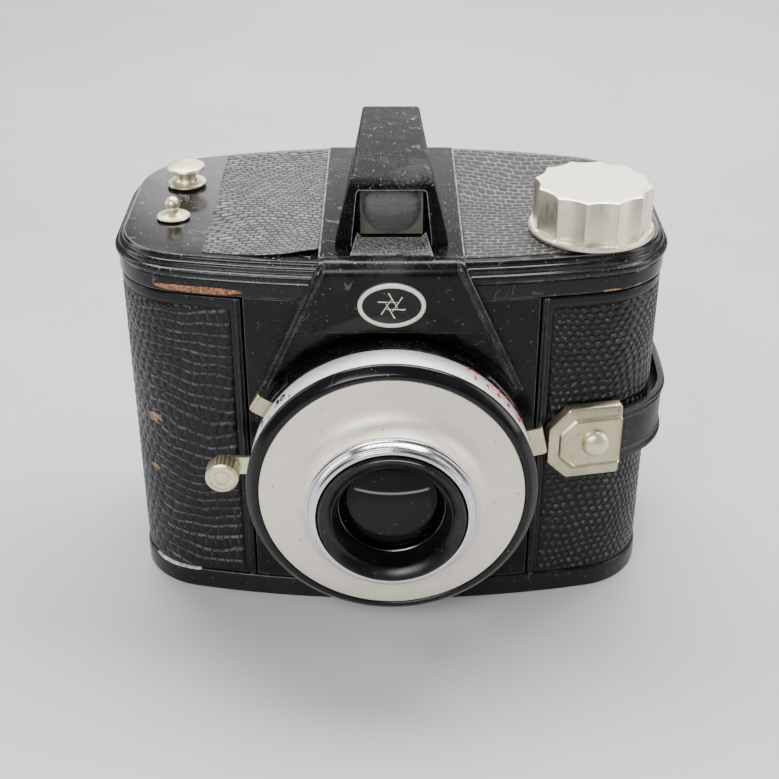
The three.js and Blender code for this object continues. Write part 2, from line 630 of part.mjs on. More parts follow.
// ---------------------------------------------------------------- wrap-around shell and base
const frontOpening = box(-WALL_OPENING, WALL_OPENING, -60, -20, 0, 100);
const windowHole = pinY(4.8, 0, WINDOW_Z, 30, 45, 24);

// The strap's rivets pass through the plates, the strap and the wall.
const frontPlateAt = onWall(STRAP_FRONT_X, false);
const backPlateAt = onWall(STRAP_BACK_X, true);
const RIVET_X = { front: 2.5, back: -2.5 };
const rivetHole = (place, x) => pinY(1.8, x, STRAP_Z, -6, 6).applyMatrix4(place);
const wallHoles = [rivetHole(frontPlateAt, RIVET_X.front), rivetHole(backPlateAt, RIVET_X.back)];

piece(
  "leather_cover",
  cut(band(0, -LEATHER_THICKNESS, WALL_BOTTOM, WALL_TOP), frontOpening, windowHole, ...wallHoles),
  leather
);
piece(
  "body_shell",
  cut(band(-1.1, SHELL_INSIDE, WALL_BOTTOM, WALL_TOP), frontOpening, windowHole, ...wallHoles),
  blackMetal
);
piece(
  "base_plate",
  cut(
    slab(0.4, 0, PLINTH_TOP),
    slab(-3, 3, 10),
    rod(6.3, BUSH.x, BUSH.y, -1, 8, 24),
    rod(LOCK_KEY_R + 1.5, LOCK.x, LOCK.y, -1, 1.4, 28),
    rod(2.8, LOCK.x, LOCK.y, -1, 8)
  ),
  blackPlastic
);

piece(
  "tripod_bush",
  turn([[3.2, 0], [6, 0], [6, 3.3], [8, 3.3], [8, 4.5], [3.2, 4.5], [3.2, 0]], BUSH.x, BUSH.y, 24),
  steel
);
piece(
  "base_lock_key",
  join(rod(LOCK_KEY_R, LOCK.x, LOCK.y, 0.3, 1.1, 28), rod(2.5, LOCK.x, LOCK.y, 1, 5)),
  creamMetal
);
const tongue = box(LOCK.x - 9, LOCK.x + 9, LOCK.y - 3, LOCK.y + 3, 3.4, 4.6);
piece("lock_tongue", cut(tongue, rod(2.8, LOCK.x, LOCK.y, 0, 8)), steel);

// ---------------------------------------------------------------- film number window in the back
piece("film_window", pinY(4.5, 0, WINDOW_Z, 35.9, 36.7, 24), redGlass);
const FRAME_BACK = HALF_DEPTH + 1.2;
const WINDOW_TRAVEL = 11;
function windowFrame() {
  const plate = box(-8, 8 + WINDOW_TRAVEL, HALF_DEPTH + GAP, FRAME_BACK, WINDOW_Z - 8, WINDOW_Z + 8);
  const rail = (z) => box(-8, 8 + WINDOW_TRAVEL, FRAME_BACK - 0.1, FRAME_BACK + 1.2, z - 0.6, z + 0.6);
  return cut(join(plate, rail(WINDOW_Z - 7.4), rail(WINDOW_Z + 7.4)), windowHole);
}
piece("window_frame", windowFrame(), creamMetal);
piece(
  "window_slider",
  join(
    box(-6.5, 6.5, FRAME_BACK + GAP, FRAME_BACK + 1, WINDOW_Z - 6.5, WINDOW_Z + 6.5),
    box(2.5, 4.5, FRAME_BACK + 0.9, FRAME_BACK + 2, WINDOW_Z - 4, WINDOW_Z + 4)
  ),
  creamMetal
);

// ---------------------------------------------------------------- hand strap
// The strap hugs the wall under its plates and bows out beside the camera.
const STRAP_CLEARANCE = 0.6;
const STRAP_BOW = 2;
const STRAP_END = 2.5; // how far each end reaches past the middle of its plate
function handStrap() {
  const [down, up] = [-Math.PI / 2, Math.PI / 2];
  const from = Math.asin((STRAP_FRONT_X - STRAP_END) / FRONT_BOW_R);
  const to = Math.asin((STRAP_BACK_X - STRAP_END) / BACK_BOW_R);
  const path = new THREE.Path();
  path.absarc(0, FRONT_BOW_Y, FRONT_BOW_R, down + from, down + FRONT_BOW_ANGLE, false);
  path.absarc(HALF_WIDTH - FRONT_CORNER_R, FRONT_CORNER_Y, FRONT_CORNER_R, down + FRONT_BOW_ANGLE, 0, false);
  path.absarc(HALF_WIDTH - BACK_CORNER_R, BACK_CORNER_Y, BACK_CORNER_R, 0, up - BACK_BOW_ANGLE, false);
  path.absarc(0, BACK_BOW_Y, BACK_BOW_R, up - BACK_BOW_ANGLE, up - to, false);
  const around = path.getPoints(4);
  const outwards = around.map((p, i) => {
    const before = around[Math.max(i - 1, 0)];
    const after = around[Math.min(i + 1, around.length - 1)];
    return new THREE.Vector2(after.y - before.y, before.x - after.x).normalize();
  });
  const away = (p) => STRAP_CLEARANCE + STRAP_BOW * Math.max(0, 1 - ((p.y + 3) / 26) ** 2);
  const edge = (extra) => around.map((p, i) => p.clone().addScaledVector(outwards[i], away(p) + extra));
  const shape = new THREE.Shape([...edge(0).reverse(), ...edge(STRAP_THICKNESS)]);
  return cut(raise(shape, STRAP_Z - STRAP_HALF_WIDTH, STRAP_Z + STRAP_HALF_WIDTH), ...wallHoles);
}
piece("hand_strap", handStrap(), blackPlastic);

// A stamped plate with two clipped corners, raised over the strap's end. toStrap is the side the strap
// leaves by, as seen from outside: 1 for right, -1 for left.
function strapPlate(toStrap, rivetX) {
  const clipped = (half, height, clip) => polygon([[toStrap * half, -height], [toStrap * half, height],
    [-toStrap * (half - clip), height], [-toStrap * half, height - clip],
    [-toStrap * half, clip - height], [-toStrap * (half - clip), -height]]);
  const border = deepen(clipped(9.2, 9.5, 5), -2.9, -GAP).translate(0, 0, STRAP_Z);
  const raised = deepen(clipped(7.4, 7.3, 3.6), -3.5, -2.8).translate(toStrap * 1.8, 0, STRAP_Z);
  const pocket = box(-6.4, 6.4, -2.5, 5, STRAP_Z - STRAP_HALF_WIDTH - 0.4, STRAP_Z + STRAP_HALF_WIDTH + 0.4);
  return cut(join(border, raised), pocket.translate(toStrap * 3.2, 0, 0), pinY(1.8, rivetX, STRAP_Z, -6, 6));
}
piece("strap_plate_front", strapPlate(1, RIVET_X.front).transform(frontPlateAt.elements), creamMetal);
piece("strap_plate_back", strapPlate(-1, RIVET_X.back).transform(backPlateAt.elements), creamMetal);

// A domed rivet: the head is turned on an axis that points out of the wall.
function rivet(place, x) {
  const head = [[0, -2.2], [1.5, -2.2], [1.5, 3.8], [3.4, 3.8], [3.1, 4.7], [2, 5.4], [0, 5.7]];
  const g = new THREE.LatheGeometry(head.map(([r, h]) => new THREE.Vector2(r, h)), 20);
  return g.rotateX(Math.PI).translate(x, 0, STRAP_Z).applyMatrix4(place);
}
piece("strap_rivet_front", rivet(frontPlateAt, RIVET_X.front), creamMetal);
piece("strap_rivet_back", rivet(backPlateAt, RIVET_X.back), creamMetal);

export default camera;
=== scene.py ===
"""Looks for the box camera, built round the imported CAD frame.

Lengths are written in millimetres and turned into metres when a mesh is made.
"""

import json
import math

import bmesh
import bpy
from mathutils import Matrix, Vector, noise


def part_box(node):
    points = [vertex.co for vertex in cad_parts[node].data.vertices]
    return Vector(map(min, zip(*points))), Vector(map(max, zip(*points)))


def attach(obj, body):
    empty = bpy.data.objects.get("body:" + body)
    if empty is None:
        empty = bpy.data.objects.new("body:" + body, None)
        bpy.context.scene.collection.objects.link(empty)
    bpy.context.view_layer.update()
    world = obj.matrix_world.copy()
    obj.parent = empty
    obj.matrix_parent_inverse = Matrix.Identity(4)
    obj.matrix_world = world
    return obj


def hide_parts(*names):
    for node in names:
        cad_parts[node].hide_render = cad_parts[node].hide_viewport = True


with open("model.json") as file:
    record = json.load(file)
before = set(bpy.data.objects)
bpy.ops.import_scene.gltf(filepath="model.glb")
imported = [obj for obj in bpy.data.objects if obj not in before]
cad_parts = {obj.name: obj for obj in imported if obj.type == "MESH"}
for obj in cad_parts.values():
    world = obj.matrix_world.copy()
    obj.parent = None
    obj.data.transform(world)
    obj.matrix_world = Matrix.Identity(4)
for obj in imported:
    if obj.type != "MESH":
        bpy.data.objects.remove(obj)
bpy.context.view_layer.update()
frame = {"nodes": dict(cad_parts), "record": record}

MM = 0.001
GRAIN_SEED = 1794799698  # fixes how the rows of the grained coverings drift
noise.seed_set(GRAIN_SEED)


# ---------------------------------------------------------------- sizes taken from the frame
def low(node):
    """Lowest corner of a CAD node, in millimetres."""
    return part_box(node)[0] / MM


def high(node):
    """Highest corner of a CAD node, in millimetres."""
    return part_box(node)[1] / MM


def middle(node):
    return (low(node) + high(node)) / 2


def half_size(node):
    return (high(node) - low(node)) / 2


HALF_WIDTH = high("leather_cover").x  # plan of the covered wall
HALF_DEPTH = high("leather_cover").y
FRONT_BOW_R = 230.0
FRONT_CORNER_R = 18.3
BACK_BOW_R = 170.0
BACK_CORNER_R = 22.0
WALL_BOTTOM = low("leather_cover").z
WALL_TOP = high("leather_cover").z
COVER_BOTTOM = low("top_cover").z
COVER_TOP = high("top_cover").z
BEAD_Z = 89.25
PLINTH_TOP = high("base_plate").z
PANEL_HALF = 33.7  # half width of the smooth front panel
OPENING = 34.3  # half width of the gap in the wrap-around wall
LENS_Z = middle("face_plate").z
BARREL_R = high("lens_barrel").x
KNOB = middle("wind_knob")


# ---------------------------------------------------------------- mesh helpers
def finish_mesh(name, bm, sharp_angle=35.0):
    """Links a bmesh, built in millimetres, as an object in metres."""
    bmesh.ops.remove_doubles(bm, verts=bm.verts, dist=1e-4)
    bmesh.ops.recalc_face_normals(bm, faces=bm.faces)
    bmesh.ops.scale(bm, vec=(MM, MM, MM), verts=bm.verts)
    mesh = bpy.data.meshes.new(name)
    for edge in bm.edges:
        if len(edge.link_faces) == 2:
            edge.smooth = edge.calc_face_angle(0) < math.radians(sharp_angle)
    for face in bm.faces:
        face.smooth = True
    bm.to_mesh(mesh)
    bm.free()
    obj = bpy.data.objects.new(name, mesh)
    bpy.context.scene.collection.objects.link(obj)
    return obj


def place(obj, body, slot, material, *stands_for):
    """Gives a finished piece its material, its body and the CAD nodes it stands for."""
    obj.data.materials.clear()
    obj.data.materials.append(material)
    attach(obj, body)
    if stands_for:
        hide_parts(*stands_for)
    return obj


def apply_modifiers(obj):
    """Bakes an object's modifiers into its mesh."""
    graph = bpy.context.evaluated_depsgraph_get()
    mesh = bpy.data.meshes.new_from_object(obj.evaluated_get(graph))
    obj.modifiers.clear()
    obj.data = mesh
    return obj


def bridge(bm, rings, closed=True):
    """Quads between rings of equal length."""
    verts = [[bm.verts.new(p) for p in ring] for ring in rings]
    count = len(rings[0])
    steps = count if closed else count - 1
    for r in range(len(rings) - 1):
        for i in range(steps):
            j = (i + 1) % count
            bm.faces.new((verts[r][i], verts[r][j], verts[r + 1][j], verts[r + 1][i]))
    return verts


def capped(bm, rings):
    """A closed skin through the rings, with a flat face on the first and the last."""
    verts = bridge(bm, rings)
    bm.faces.new(list(reversed(verts[0])))
    bm.faces.new(verts[-1])


def loft(name, rings):
    """A solid through the rings."""
    bm = bmesh.new()
    capped(bm, rings)
    return finish_mesh(name, bm)


def arc(cx, cy, r, start, end, steps):
    """Points on an arc, angles in degrees."""
    points = []
    for i in range(steps + 1):
        a = math.radians(start + (end - start) * i / steps)
        points.append((cx + r * math.cos(a), cy + r * math.sin(a)))
    return points


def rounded(points, radius, steps=3, is_open=False):
    """A profile with its corners replaced by small arcs. An open one keeps its two ends."""
    out = []
    count = len(points)
    for i, p in enumerate(points):
        if is_open and i in (0, count - 1):
            out.append(tuple(p))
            continue
        here = Vector(p)
        before = Vector(points[i - 1])
        after = Vector(points[(i + 1) % count])
        a, b = before - here, after - here
        reach = min(radius, a.length * 0.45, b.length * 0.45)
        if reach < 1e-4 or a.angle(b, math.pi) > math.radians(165):
            out.append(tuple(here))
            continue
        start = here + a.normalized() * reach
        end = here + b.normalized() * reach
        for k in range(steps + 1):
            t = k / steps
            point = start * (1 - t) ** 2 + here * 2 * t * (1 - t) + end * t * t
            out.append(tuple(point))
    return out


def lathe(name, profile, at, axis="Y", segments=160, wobble=None):
    """A closed profile of (radius, height) turned about an axis through at.

    wobble, if given, maps (radius, height, angle) to a new radius.
    """
    bm = bmesh.new()
    rings = []
    for r, h in profile:
        ring = []
        for i in range(segments):
            a = 2 * math.pi * i / segments
            rr = wobble(r, h, a) if wobble else r
            x, y = rr * math.cos(a), rr * math.sin(a)
            ring.append((at.x + x, h, at.z + y) if axis == "Y" else (at.x + x, at.y + y, h))
        rings.append(ring)
    if profile[0][0] > 1e-6:
        rings.append(rings[0])
    bridge(bm, rings)
    return finish_mesh(name, bm)


def extrude_outline(name, points, at, depth, bevel=0.0, bevel_steps=3):
    """A flat outline of (x, z) points, solid from y = 0 to y = -depth, moved by matrix at."""
    bm = bmesh.new()
    front = [bm.verts.new((x, -depth, z)) for x, z in points]
    back = [bm.verts.new((x, 0, z)) for x, z in points]
    bm.faces.new(front)
    bm.faces.new(list(reversed(back)))
    for i in range(len(points)):
        j = (i + 1) % len(points)
        bm.faces.new((front[j], front[i], back[i], back[j]))
    if bevel:
        edges = [e for e in bm.edges if all(abs(v.co.y + depth) < 1e-6 for v in e.verts)]
        bmesh.ops.bevel(bm, geom=edges, offset=bevel, segments=bevel_steps, profile=0.6, affect="EDGES")
    bmesh.ops.transform(bm, matrix=at, verts=bm.verts)
    return finish_mesh(name, bm)


def cut_with(obj, *tools):
    """Boolean difference; the tools are removed afterwards."""
    for tool in tools:
        modifier = obj.modifiers.new("cut", "BOOLEAN")
        modifier.operation = "DIFFERENCE"
        modifier.solver = "EXACT"
        modifier.object = tool
    apply_modifiers(obj)
    for tool in tools:
        bpy.data.objects.remove(tool)
    return obj


# ---------------------------------------------------------------- plan outline, as in the CAD
FRONT_ANGLE = math.degrees(math.asin((HALF_WIDTH - FRONT_CORNER_R) / (FRONT_BOW_R - FRONT_CORNER_R)))
BACK_ANGLE = math.degrees(math.asin((HALF_WIDTH - BACK_CORNER_R) / (BACK_BOW_R - BACK_CORNER_R)))
FRONT_BOW_Y = FRONT_BOW_R - HALF_DEPTH
BACK_BOW_Y = HALF_DEPTH - BACK_BOW_R
FRONT_CORNER_Y = FRONT_BOW_Y - (FRONT_BOW_R - FRONT_CORNER_R) * math.cos(math.radians(FRONT_ANGLE))
BACK_CORNER_Y = BACK_BOW_Y + (BACK_BOW_R - BACK_CORNER_R) * math.cos(math.radians(BACK_ANGLE))


def wall_sections(start_x=0.0):
    """The right half of the outline as (centre x, centre y, radius, start angle, end angle)."""
    start = -90 + math.degrees(math.asin(start_x / FRONT_BOW_R))
    return [
        (0, FRONT_BOW_Y, FRONT_BOW_R, start, -90 + FRONT_ANGLE),
        (HALF_WIDTH - FRONT_CORNER_R, FRONT_CORNER_Y, FRONT_CORNER_R, -90 + FRONT_ANGLE, 0),
        (HALF_WIDTH - BACK_CORNER_R, BACK_CORNER_Y, BACK_CORNER_R, 0, 90 - BACK_ANGLE),
        (0, BACK_BOW_Y, BACK_BOW_R, 90 - BACK_ANGLE, 90),
    ]


def half_outline(offset, start_x=0.0, steps=(14, 16, 16, 14), side_steps=4):
    """Right half from the front to the back centre line."""
    points = []
    for k, (cx, cy, r, a0, a1) in enumerate(wall_sections(start_x)):
        if k == 2:
            x, y0 = points[-1]
            y1 = BACK_CORNER_Y
            points += [(x, y0 + (y1 - y0) * i / side_steps) for i in range(1, side_steps)]
        points += arc(cx, cy, r + offset, a0, a1, steps[k])[1 if k in (1, 3) else 0:]
    return points


def outline(offset):
    """The whole closed outline, counter-clockwise from the front centre."""
    right = half_outline(offset)
    left = [(-x, y) for x, y in reversed(right[1:-1])]
    return right + left


def on_wall(x, at_back=False):
    """Matrix for a fitting drawn in x and z, facing -Y, put against the wall at x."""
    r = BACK_BOW_R if at_back else FRONT_BOW_R
    a = math.asin(x / r)
    y = BACK_BOW_Y + r * math.cos(a) if at_back else FRONT_BOW_Y - r * math.cos(a)
    turn = math.pi - a if at_back else a
    return Matrix.Translation((x, y, 0)) @ Matrix.Rotation(turn, 4, "Z")


# ---------------------------------------------------------------- grained coverings
ROW_TURN = 37.7  # how the rows of scales are shifted against each other
ROW_SWAY = 0.16


class Grain:
    """Lizard grain over a surface measured in millimetres: curving rows of small domed scales."""

    def __init__(self, width, height, relief, sweep, side_power, row_power, seed):
        self.width, self.height, self.relief = width, height, relief
        self.sweep = sweep  # how far the rows bend
        self.side_power, self.row_power = side_power, row_power  # low for round beads, high for bricks
        self.seed = seed

    def at(self, u, v):
        """Height in millimetres above the creases, and the place across and up the scales."""
        place_in = Vector((u, v, self.seed))
        drift = noise.noise_vector(place_in * 0.035) * 6.5 * self.sweep
        drift += noise.noise_vector(place_in * 0.15) * 0.9 * self.sweep
        drift += noise.noise_vector(place_in * 0.6) * 0.25
        across, up = (u + drift.x) / self.width, (v + drift.y) / self.height
        row = math.floor(up)
        shifted = across + row * 0.5 + ROW_SWAY * math.sin(row * ROW_TURN)
        x, y = 2 * (shifted % 1.0) - 1, 2 * (up - row) - 1
        dome = max(0.0, 1 - abs(x) ** self.side_power - abs(y) ** self.row_power)
        return self.relief * dome ** 0.6, (across, up)


BRICK_GRAIN = Grain(2.5, 2.9, 0.32, 1.1, 2.6, 3.0, 1.0)
BEAD_GRAIN = Grain(2.0, 1.9, 0.3, 0.9, 2.0, 2.0, 7.0)
FINE_GRAIN = Grain(2.3, 1.35, 0.2, 1.1, 4.0, 2.0, 13.0)
MESH_GRAIN = Grain(2.6, 2.0, 0.2, 1.1, 4.0, 3.0, 19.0)
SMOOTH = (0.0, 0.0, 0.0, 0.0)


def store_grain(obj, values):
    """Writes the grain attribute; values maps a rounded vertex position to four numbers."""
    attribute = obj.data.attributes.new("grain", "FLOAT_COLOR", "POINT")
    for i, vertex in enumerate(obj.data.vertices):
        attribute.data[i].color = values.get(position_key(vertex.co / MM), SMOOTH)


def position_key(p):
    return round(p[0], 2), round(p[1], 2), round(p[2], 2)


# ---------------------------------------------------------------- material helpers
BLACK = (0.006, 0.006, 0.0065)


class Look:
    """A Principled material with small helpers for the nodes round it. Texture scales are per metre."""

    def __init__(self, name, color, roughness, metallic=0.0, **extra):
        self.material = bpy.data.materials.new(name)
        self.material.use_nodes = True
        self.nodes = self.material.node_tree.nodes
        self.links = self.material.node_tree.links
        self.shader = self.nodes["Principled BSDF"]
        self.set("Base Color", (*color, 1))
        self.set("Roughness", roughness)
        self.set("Metallic", metallic)
        for key, value in extra.items():
            self.set(key.replace("_", " "), value)
        self.coords = self.nodes.new("ShaderNodeTexCoord").outputs["Object"]

    def set(self, socket, value):
        target = self.shader.inputs[socket]
        if isinstance(value, bpy.types.NodeSocket):
            self.links.new(value, target)
        else:
            target.default_value = value

    def node(self, kind, inputs=None, **settings):
        n = self.nodes.new("ShaderNode" + kind)
        for key, value in settings.items():
            setattr(n, key, value)
        for key, value in (inputs or {}).items():
            if isinstance(value, bpy.types.NodeSocket):
                self.links.new(value, n.inputs[key])
            else:
                n.inputs[key].default_value = value
        return n

    def stretched(self, scale):
        """Coordinates multiplied by an (x, y, z) scale."""
        return self.node("Mapping", {"Vector": self.coords, "Scale": scale}).outputs["Vector"]

    def noise(self, scale, detail=4.0, roughness=0.6, distortion=0.0, source=None):
        inputs = {"Vector": source or self.coords, "Scale": scale, "Detail": detail,
                  "Roughness": roughness, "Distortion": distortion}
        return self.node("TexNoise", inputs).outputs["Fac"]

    def ramp(self, value, low_end, high_end, to_low=0.0, to_high=1.0):
        """Maps low_end..high_end to to_low..to_high, clamped."""
        inputs = {"Value": value, "From Min": low_end, "From Max": high_end,
                  "To Min": to_low, "To Max": to_high}
        return self.node("MapRange", inputs).outputs["Result"]

    def math(self, operation, first, *others):
        for other in others or (0.0,):
            first = self.node("Math", {0: first, 1: other}, operation=operation).outputs[0]
        return first

    def times(self, *values):
        return self.math("MULTIPLY", *values)

    def plus(self, *values):
        return self.math("ADD", *values)

    def minus(self, a, b):
        return self.math("SUBTRACT", a, b)

    def most(self, *values):
        return self.math("MAXIMUM", *values)

    def size(self, value):
        return self.math("ABSOLUTE", value)

    def power(self, value, exponent):
        return self.math("POWER", value, exponent)

    def mix(self, factor, a, b):
        n = self.node("Mix", data_type="RGBA")
        for index, value in ((0, factor), (6, a), (7, b)):
            if isinstance(value, bpy.types.NodeSocket):
                self.links.new(value, n.inputs[index])
            else:
                n.inputs[index].default_value = value
        return n.outputs[2]

    def edges(self, radius):
        """0 on flat faces, towards 1 on edges sharper than the radius, in metres."""
        bevel = self.node("Bevel", {"Radius": radius}, samples=6)
        normal = self.node("NewGeometry").outputs["Normal"]
        dot = self.node("VectorMath", {0: bevel.outputs[0], 1: normal}, operation="DOT_PRODUCT")
        return self.ramp(self.minus(1.0, dot.outputs["Value"]), 0.015, 0.16)

    def facing_up(self):
        normal = self.node("NewGeometry").outputs["Normal"]
        z = self.node("SeparateXYZ", {"Vector": normal}).outputs["Z"]
        return self.ramp(z, 0.0, 0.9)

    def window(self, axis, start, full):
        """A soft step from 0 at start to 1 at full, along one object axis, in metres."""
        value = self.node("SeparateXYZ", {"Vector": self.coords}).outputs[axis]
        return self.ramp(value, start, full)

    def specks(self, scale, share):
        """Small scattered dots, as 0 to 1. share is about how many cells hold one."""
        v = self.node("TexVoronoi", {"Vector": self.coords, "Scale": scale})
        near = self.ramp(v.outputs["Distance"], 0.28, 0.12)
        chosen = self.node("SeparateColor", {"Color": v.outputs["Color"]}).outputs[0]
        return self.times(near, self.ramp(chosen, 1 - share, 1 - share * 0.8))

    def fibres(self, scale, width=0.03):
        """Thin curved hairs, as 0 to 1, few and far between."""
        lines = self.noise(scale, 1.0, 0.4, 1.2)
        thin = self.ramp(self.size(self.minus(lines, 0.5)), width * 0.35, 0.0)
        patch = self.ramp(self.noise(scale * 2.3, 0.0), 0.62, 0.68)
        return self.times(thin, patch)

    def bump(self, height, strength, distance, normal=None):
        inputs = {"Height": height, "Strength": strength, "Distance": distance}
        if normal:
            inputs["Normal"] = normal
        return self.node("Bump", inputs).outputs["Normal"]


def black_plastic(name, dust=0.5, wear_and_highlight=0.6, roughness=0.2, edge_radius=0.0005, haze=0.0, shine=0.27,
                  marks=None):
    """Moulded black, glossy, with dust, pale edges that are partly wear and partly painted highlight, and,
    through marks, patches of bare material.
    """
    look = Look(name, BLACK, roughness, Specular_IOR_Level=shine)
    cloud = look.noise(90, 6, 0.65)
    up = look.ramp(look.facing_up(), 0, 1, 0.35, 1.0)
    patchy = look.ramp(look.noise(60, 3, 0.6), 0.42, 0.68, 0.15, 1.0)
    film = look.times(look.ramp(cloud, 0.52, 0.85, 0.0, 0.14 * dust), up)
    film = look.plus(film, look.ramp(look.noise(1900, 4, 0.7), 0.4, 0.7, 0.0, haze))
    grains = look.times(look.specks(2300, min(0.9, 0.28 * dust)), up, patchy)
    crumbs = look.times(look.specks(1250, 0.05 * dust), up)
    hairs = look.times(look.fibres(120), up, 0.6 * dust)
    settled = look.most(film, grains, hairs, crumbs)
    # Pale edges: partly wear, partly painted highlight where an edge would catch the light.
    worn_through = look.ramp(look.noise(260, 5, 0.7), 0.35, 0.75, 0.12, 1)
    rubbed = look.times(look.edges(edge_radius), worn_through, wear_and_highlight)
    color = look.mix(settled, (*BLACK, 1), (0.40, 0.40, 0.40, 1))
    color = look.mix(rubbed, color, (0.68, 0.67, 0.64, 1))
    if marks:
        where, bare = marks(look)
        color = look.mix(where, color, bare)
    look.set("Base Color", color)
    uneven = look.ramp(cloud, 0.3, 0.8, roughness * 0.8, roughness * 1.7)
    look.set("Roughness", look.plus(uneven, look.times(settled, 0.5)))
    look.set("Normal", look.bump(look.noise(900, 3, 0.6), 0.04, 0.0001))
    return look.material


def ragged_patch(look, windows, noise_scale, stretch):
    """A patch with a torn outline: the product of soft windows, broken up by noise and cut sharp."""
    ragged = look.noise(noise_scale, 5, 0.7, source=look.stretched(stretch))
    return look.ramp(look.plus(look.times(*windows), look.times(ragged, 0.9)), 1.02, 1.08)


def skirt_rust(look):
    """Flaked lacquer low on the cover's skirt: one long patch at the left front and flecks at the right."""
    front = look.window("Y", -0.005, -0.012)
    height = [look.window("Z", 0.0865, 0.0855), look.window("Z", 0.0837, 0.0850)]
    left = [look.window("X", -0.0600, -0.0500), look.window("X", -0.0300, -0.0380)]
    long_patch = ragged_patch(look, height + left + [front], 420, (0.35, 0.35, 1.0))
    low_edge = [look.window("Z", 0.0850, 0.0842), look.window("X", 0.034, 0.05), front]
    flecks = look.times(ragged_patch(look, low_edge, 700, (0.5, 0.5, 1.0)),
                       look.ramp(look.noise(200, 2), 0.54, 0.58))
    mottled = look.ramp(look.noise(1500, 4, 0.7), 0.4, 0.62)
    rust = look.mix(mottled, (0.13, 0.045, 0.02, 1), (0.46, 0.22, 0.12, 1))
    return look.most(long_patch, flecks), rust


def plinth_chip(look):
    """A long chip on the plinth's top edge at the left front corner."""
    windows = [look.window("Z", 0.0046, 0.0054), look.window("X", -0.0625, -0.0590),
               look.window("X", -0.0460, -0.0500), look.window("Y", -0.012, -0.018)]
    bare = look.mix(look.ramp(look.noise(700, 3), 0.4, 0.6), (0.30, 0.28, 0.24, 1), (0.66, 0.64, 0.58, 1))
    return ragged_patch(look, windows, 300, (0.4, 0.4, 1.0)), bare


def rubbed_through(look):
    """Two small brown patches where the covering has rubbed through, on the left front corner."""
    mottled = look.ramp(look.noise(900, 4, 0.7), 0.35, 0.6)
    brown = look.mix(mottled, (0.08, 0.05, 0.03, 1), (0.34, 0.22, 0.12, 1))
    front = look.window("Y", -0.010, -0.015)
    patches = []
    for x, z, size in ((-0.0572, 0.0484, 0.0032), (-0.0584, 0.0335, 0.0020)):
        sides = [look.window("X", x - size * 1.6, x), look.window("X", x + size * 1.6, x)]
        height = [look.window("Z", z - size, z), look.window("Z", z + size, z)]
        patches.append(ragged_patch(look, sides + height + [front], 800, (0.7, 0.7, 1.0)))
    return look.most(*patches), brown


def scale_place(look, attribute):
    """The place on one scale, x and y from -1 to 1, and a random number for each scale."""
    place_in = look.node("SeparateXYZ", {"Vector": attribute.outputs["Vector"]}).outputs
    row = look.math("FLOOR", place_in["Y"])
    y = look.ramp(look.math("FRACT", place_in["Y"]), 0, 1, -1, 1)
    shift = look.times(look.math("SINE", look.times(row, ROW_TURN)), ROW_SWAY)
    across = look.plus(look.plus(place_in["X"], look.times(row, 0.5)), shift)
    x = look.ramp(look.math("FRACT", across), 0, 1, -1, 1)
    column = look.math("FLOOR", across)
    corner = look.node("CombineXYZ", {"X": column, "Y": row, "Z": 0.0}).outputs["Vector"]
    each = look.node("TexWhiteNoise", {"Vector": corner}, noise_dimensions="3D").outputs["Value"]
    return x, y, each


def worn_and_lit_part(look, x, y, dome, lit):
    """The part of a scale painted lighter, partly wear and partly painted highlight: bead (a spot), crest
    (upper edge), dome or crease.
    """
    upper = look.times(look.ramp(y, 0.4, 0.6), look.ramp(y, 0.95, 0.8))
    crest = look.times(upper, look.ramp(look.size(x), 0.95, 0.75))
    side = look.times(look.ramp(x, 0.62, 0.8), look.ramp(look.size(y), 0.85, 0.6), 0.45)
    from_spot = look.plus(look.power(look.size(x), 2.0), look.power(look.size(look.minus(y, 0.3)), 2.0))
    parts = {
        "bead": look.ramp(from_spot, 0.3, 0.08),
        "crest": look.most(crest, look.times(side, look.ramp(x, 1.0, 0.85))),
        "dome": look.times(look.ramp(dome, 0.3, 0.62), look.ramp(y, -1.0, 0.4, 0.35, 1.0)),
        "crease": look.ramp(dome, 0.38, 0.12),
    }
    return parts[lit]


def leatherette(name, base, light, gloss, grain, lit="crest", even=0.3, marks=None):
    """Grained black covering, its relief modelled in the mesh. lit names the part of each scale painted
    lighter, partly wear and partly painted highlight.

    The mesh attribute "grain" holds the place across and up the scales, and in alpha how much grain
    there is.
    """
    look = Look(name, base, gloss, Specular_IOR_Level=0.25)
    attribute = look.node("Attribute", attribute_name="grain")
    presence = attribute.outputs["Alpha"]
    x, y, each = scale_place(look, attribute)
    fall = look.plus(look.power(look.size(x), grain.side_power), look.power(look.size(y), grain.row_power))
    dome = look.most(look.minus(1.0, fall), 0.0)
    patchy = look.ramp(look.noise(95, 4, 0.6), 0.3, 0.66, even, 1.0)
    ragged = look.ramp(look.noise(2600, 3), 0.3, 0.62, 0.4, 1.0)
    unequal = look.ramp(each, 0.0, 1.0, 0.45, 1.0)
    # Painted highlight, partly wear: the chosen part of each scale is mixed towards the light colour.
    rubbed = look.times(worn_and_lit_part(look, x, y, dome, lit), patchy, ragged, unequal, presence)
    color = look.mix(rubbed, (*base, 1), (*light, 1))
    if marks:
        where, bare = marks(look)
        color = look.mix(where, color, bare)
    color = look.mix(look.times(look.specks(1500, 0.03), 0.5), color, (0.5, 0.5, 0.48, 1))
    look.set("Base Color", color)
    look.set("Roughness", look.ramp(look.noise(300, 4), 0.3, 0.75, gloss, gloss + 0.2))
    swell = look.times(look.power(dome, 0.6), presence)
    soft = look.bump(look.noise(2600, 4, 0.6), 0.12, 0.0001)
    look.set("Normal", look.bump(swell, 0.5, grain.relief * 0.5 * MM, soft))
    return look.material


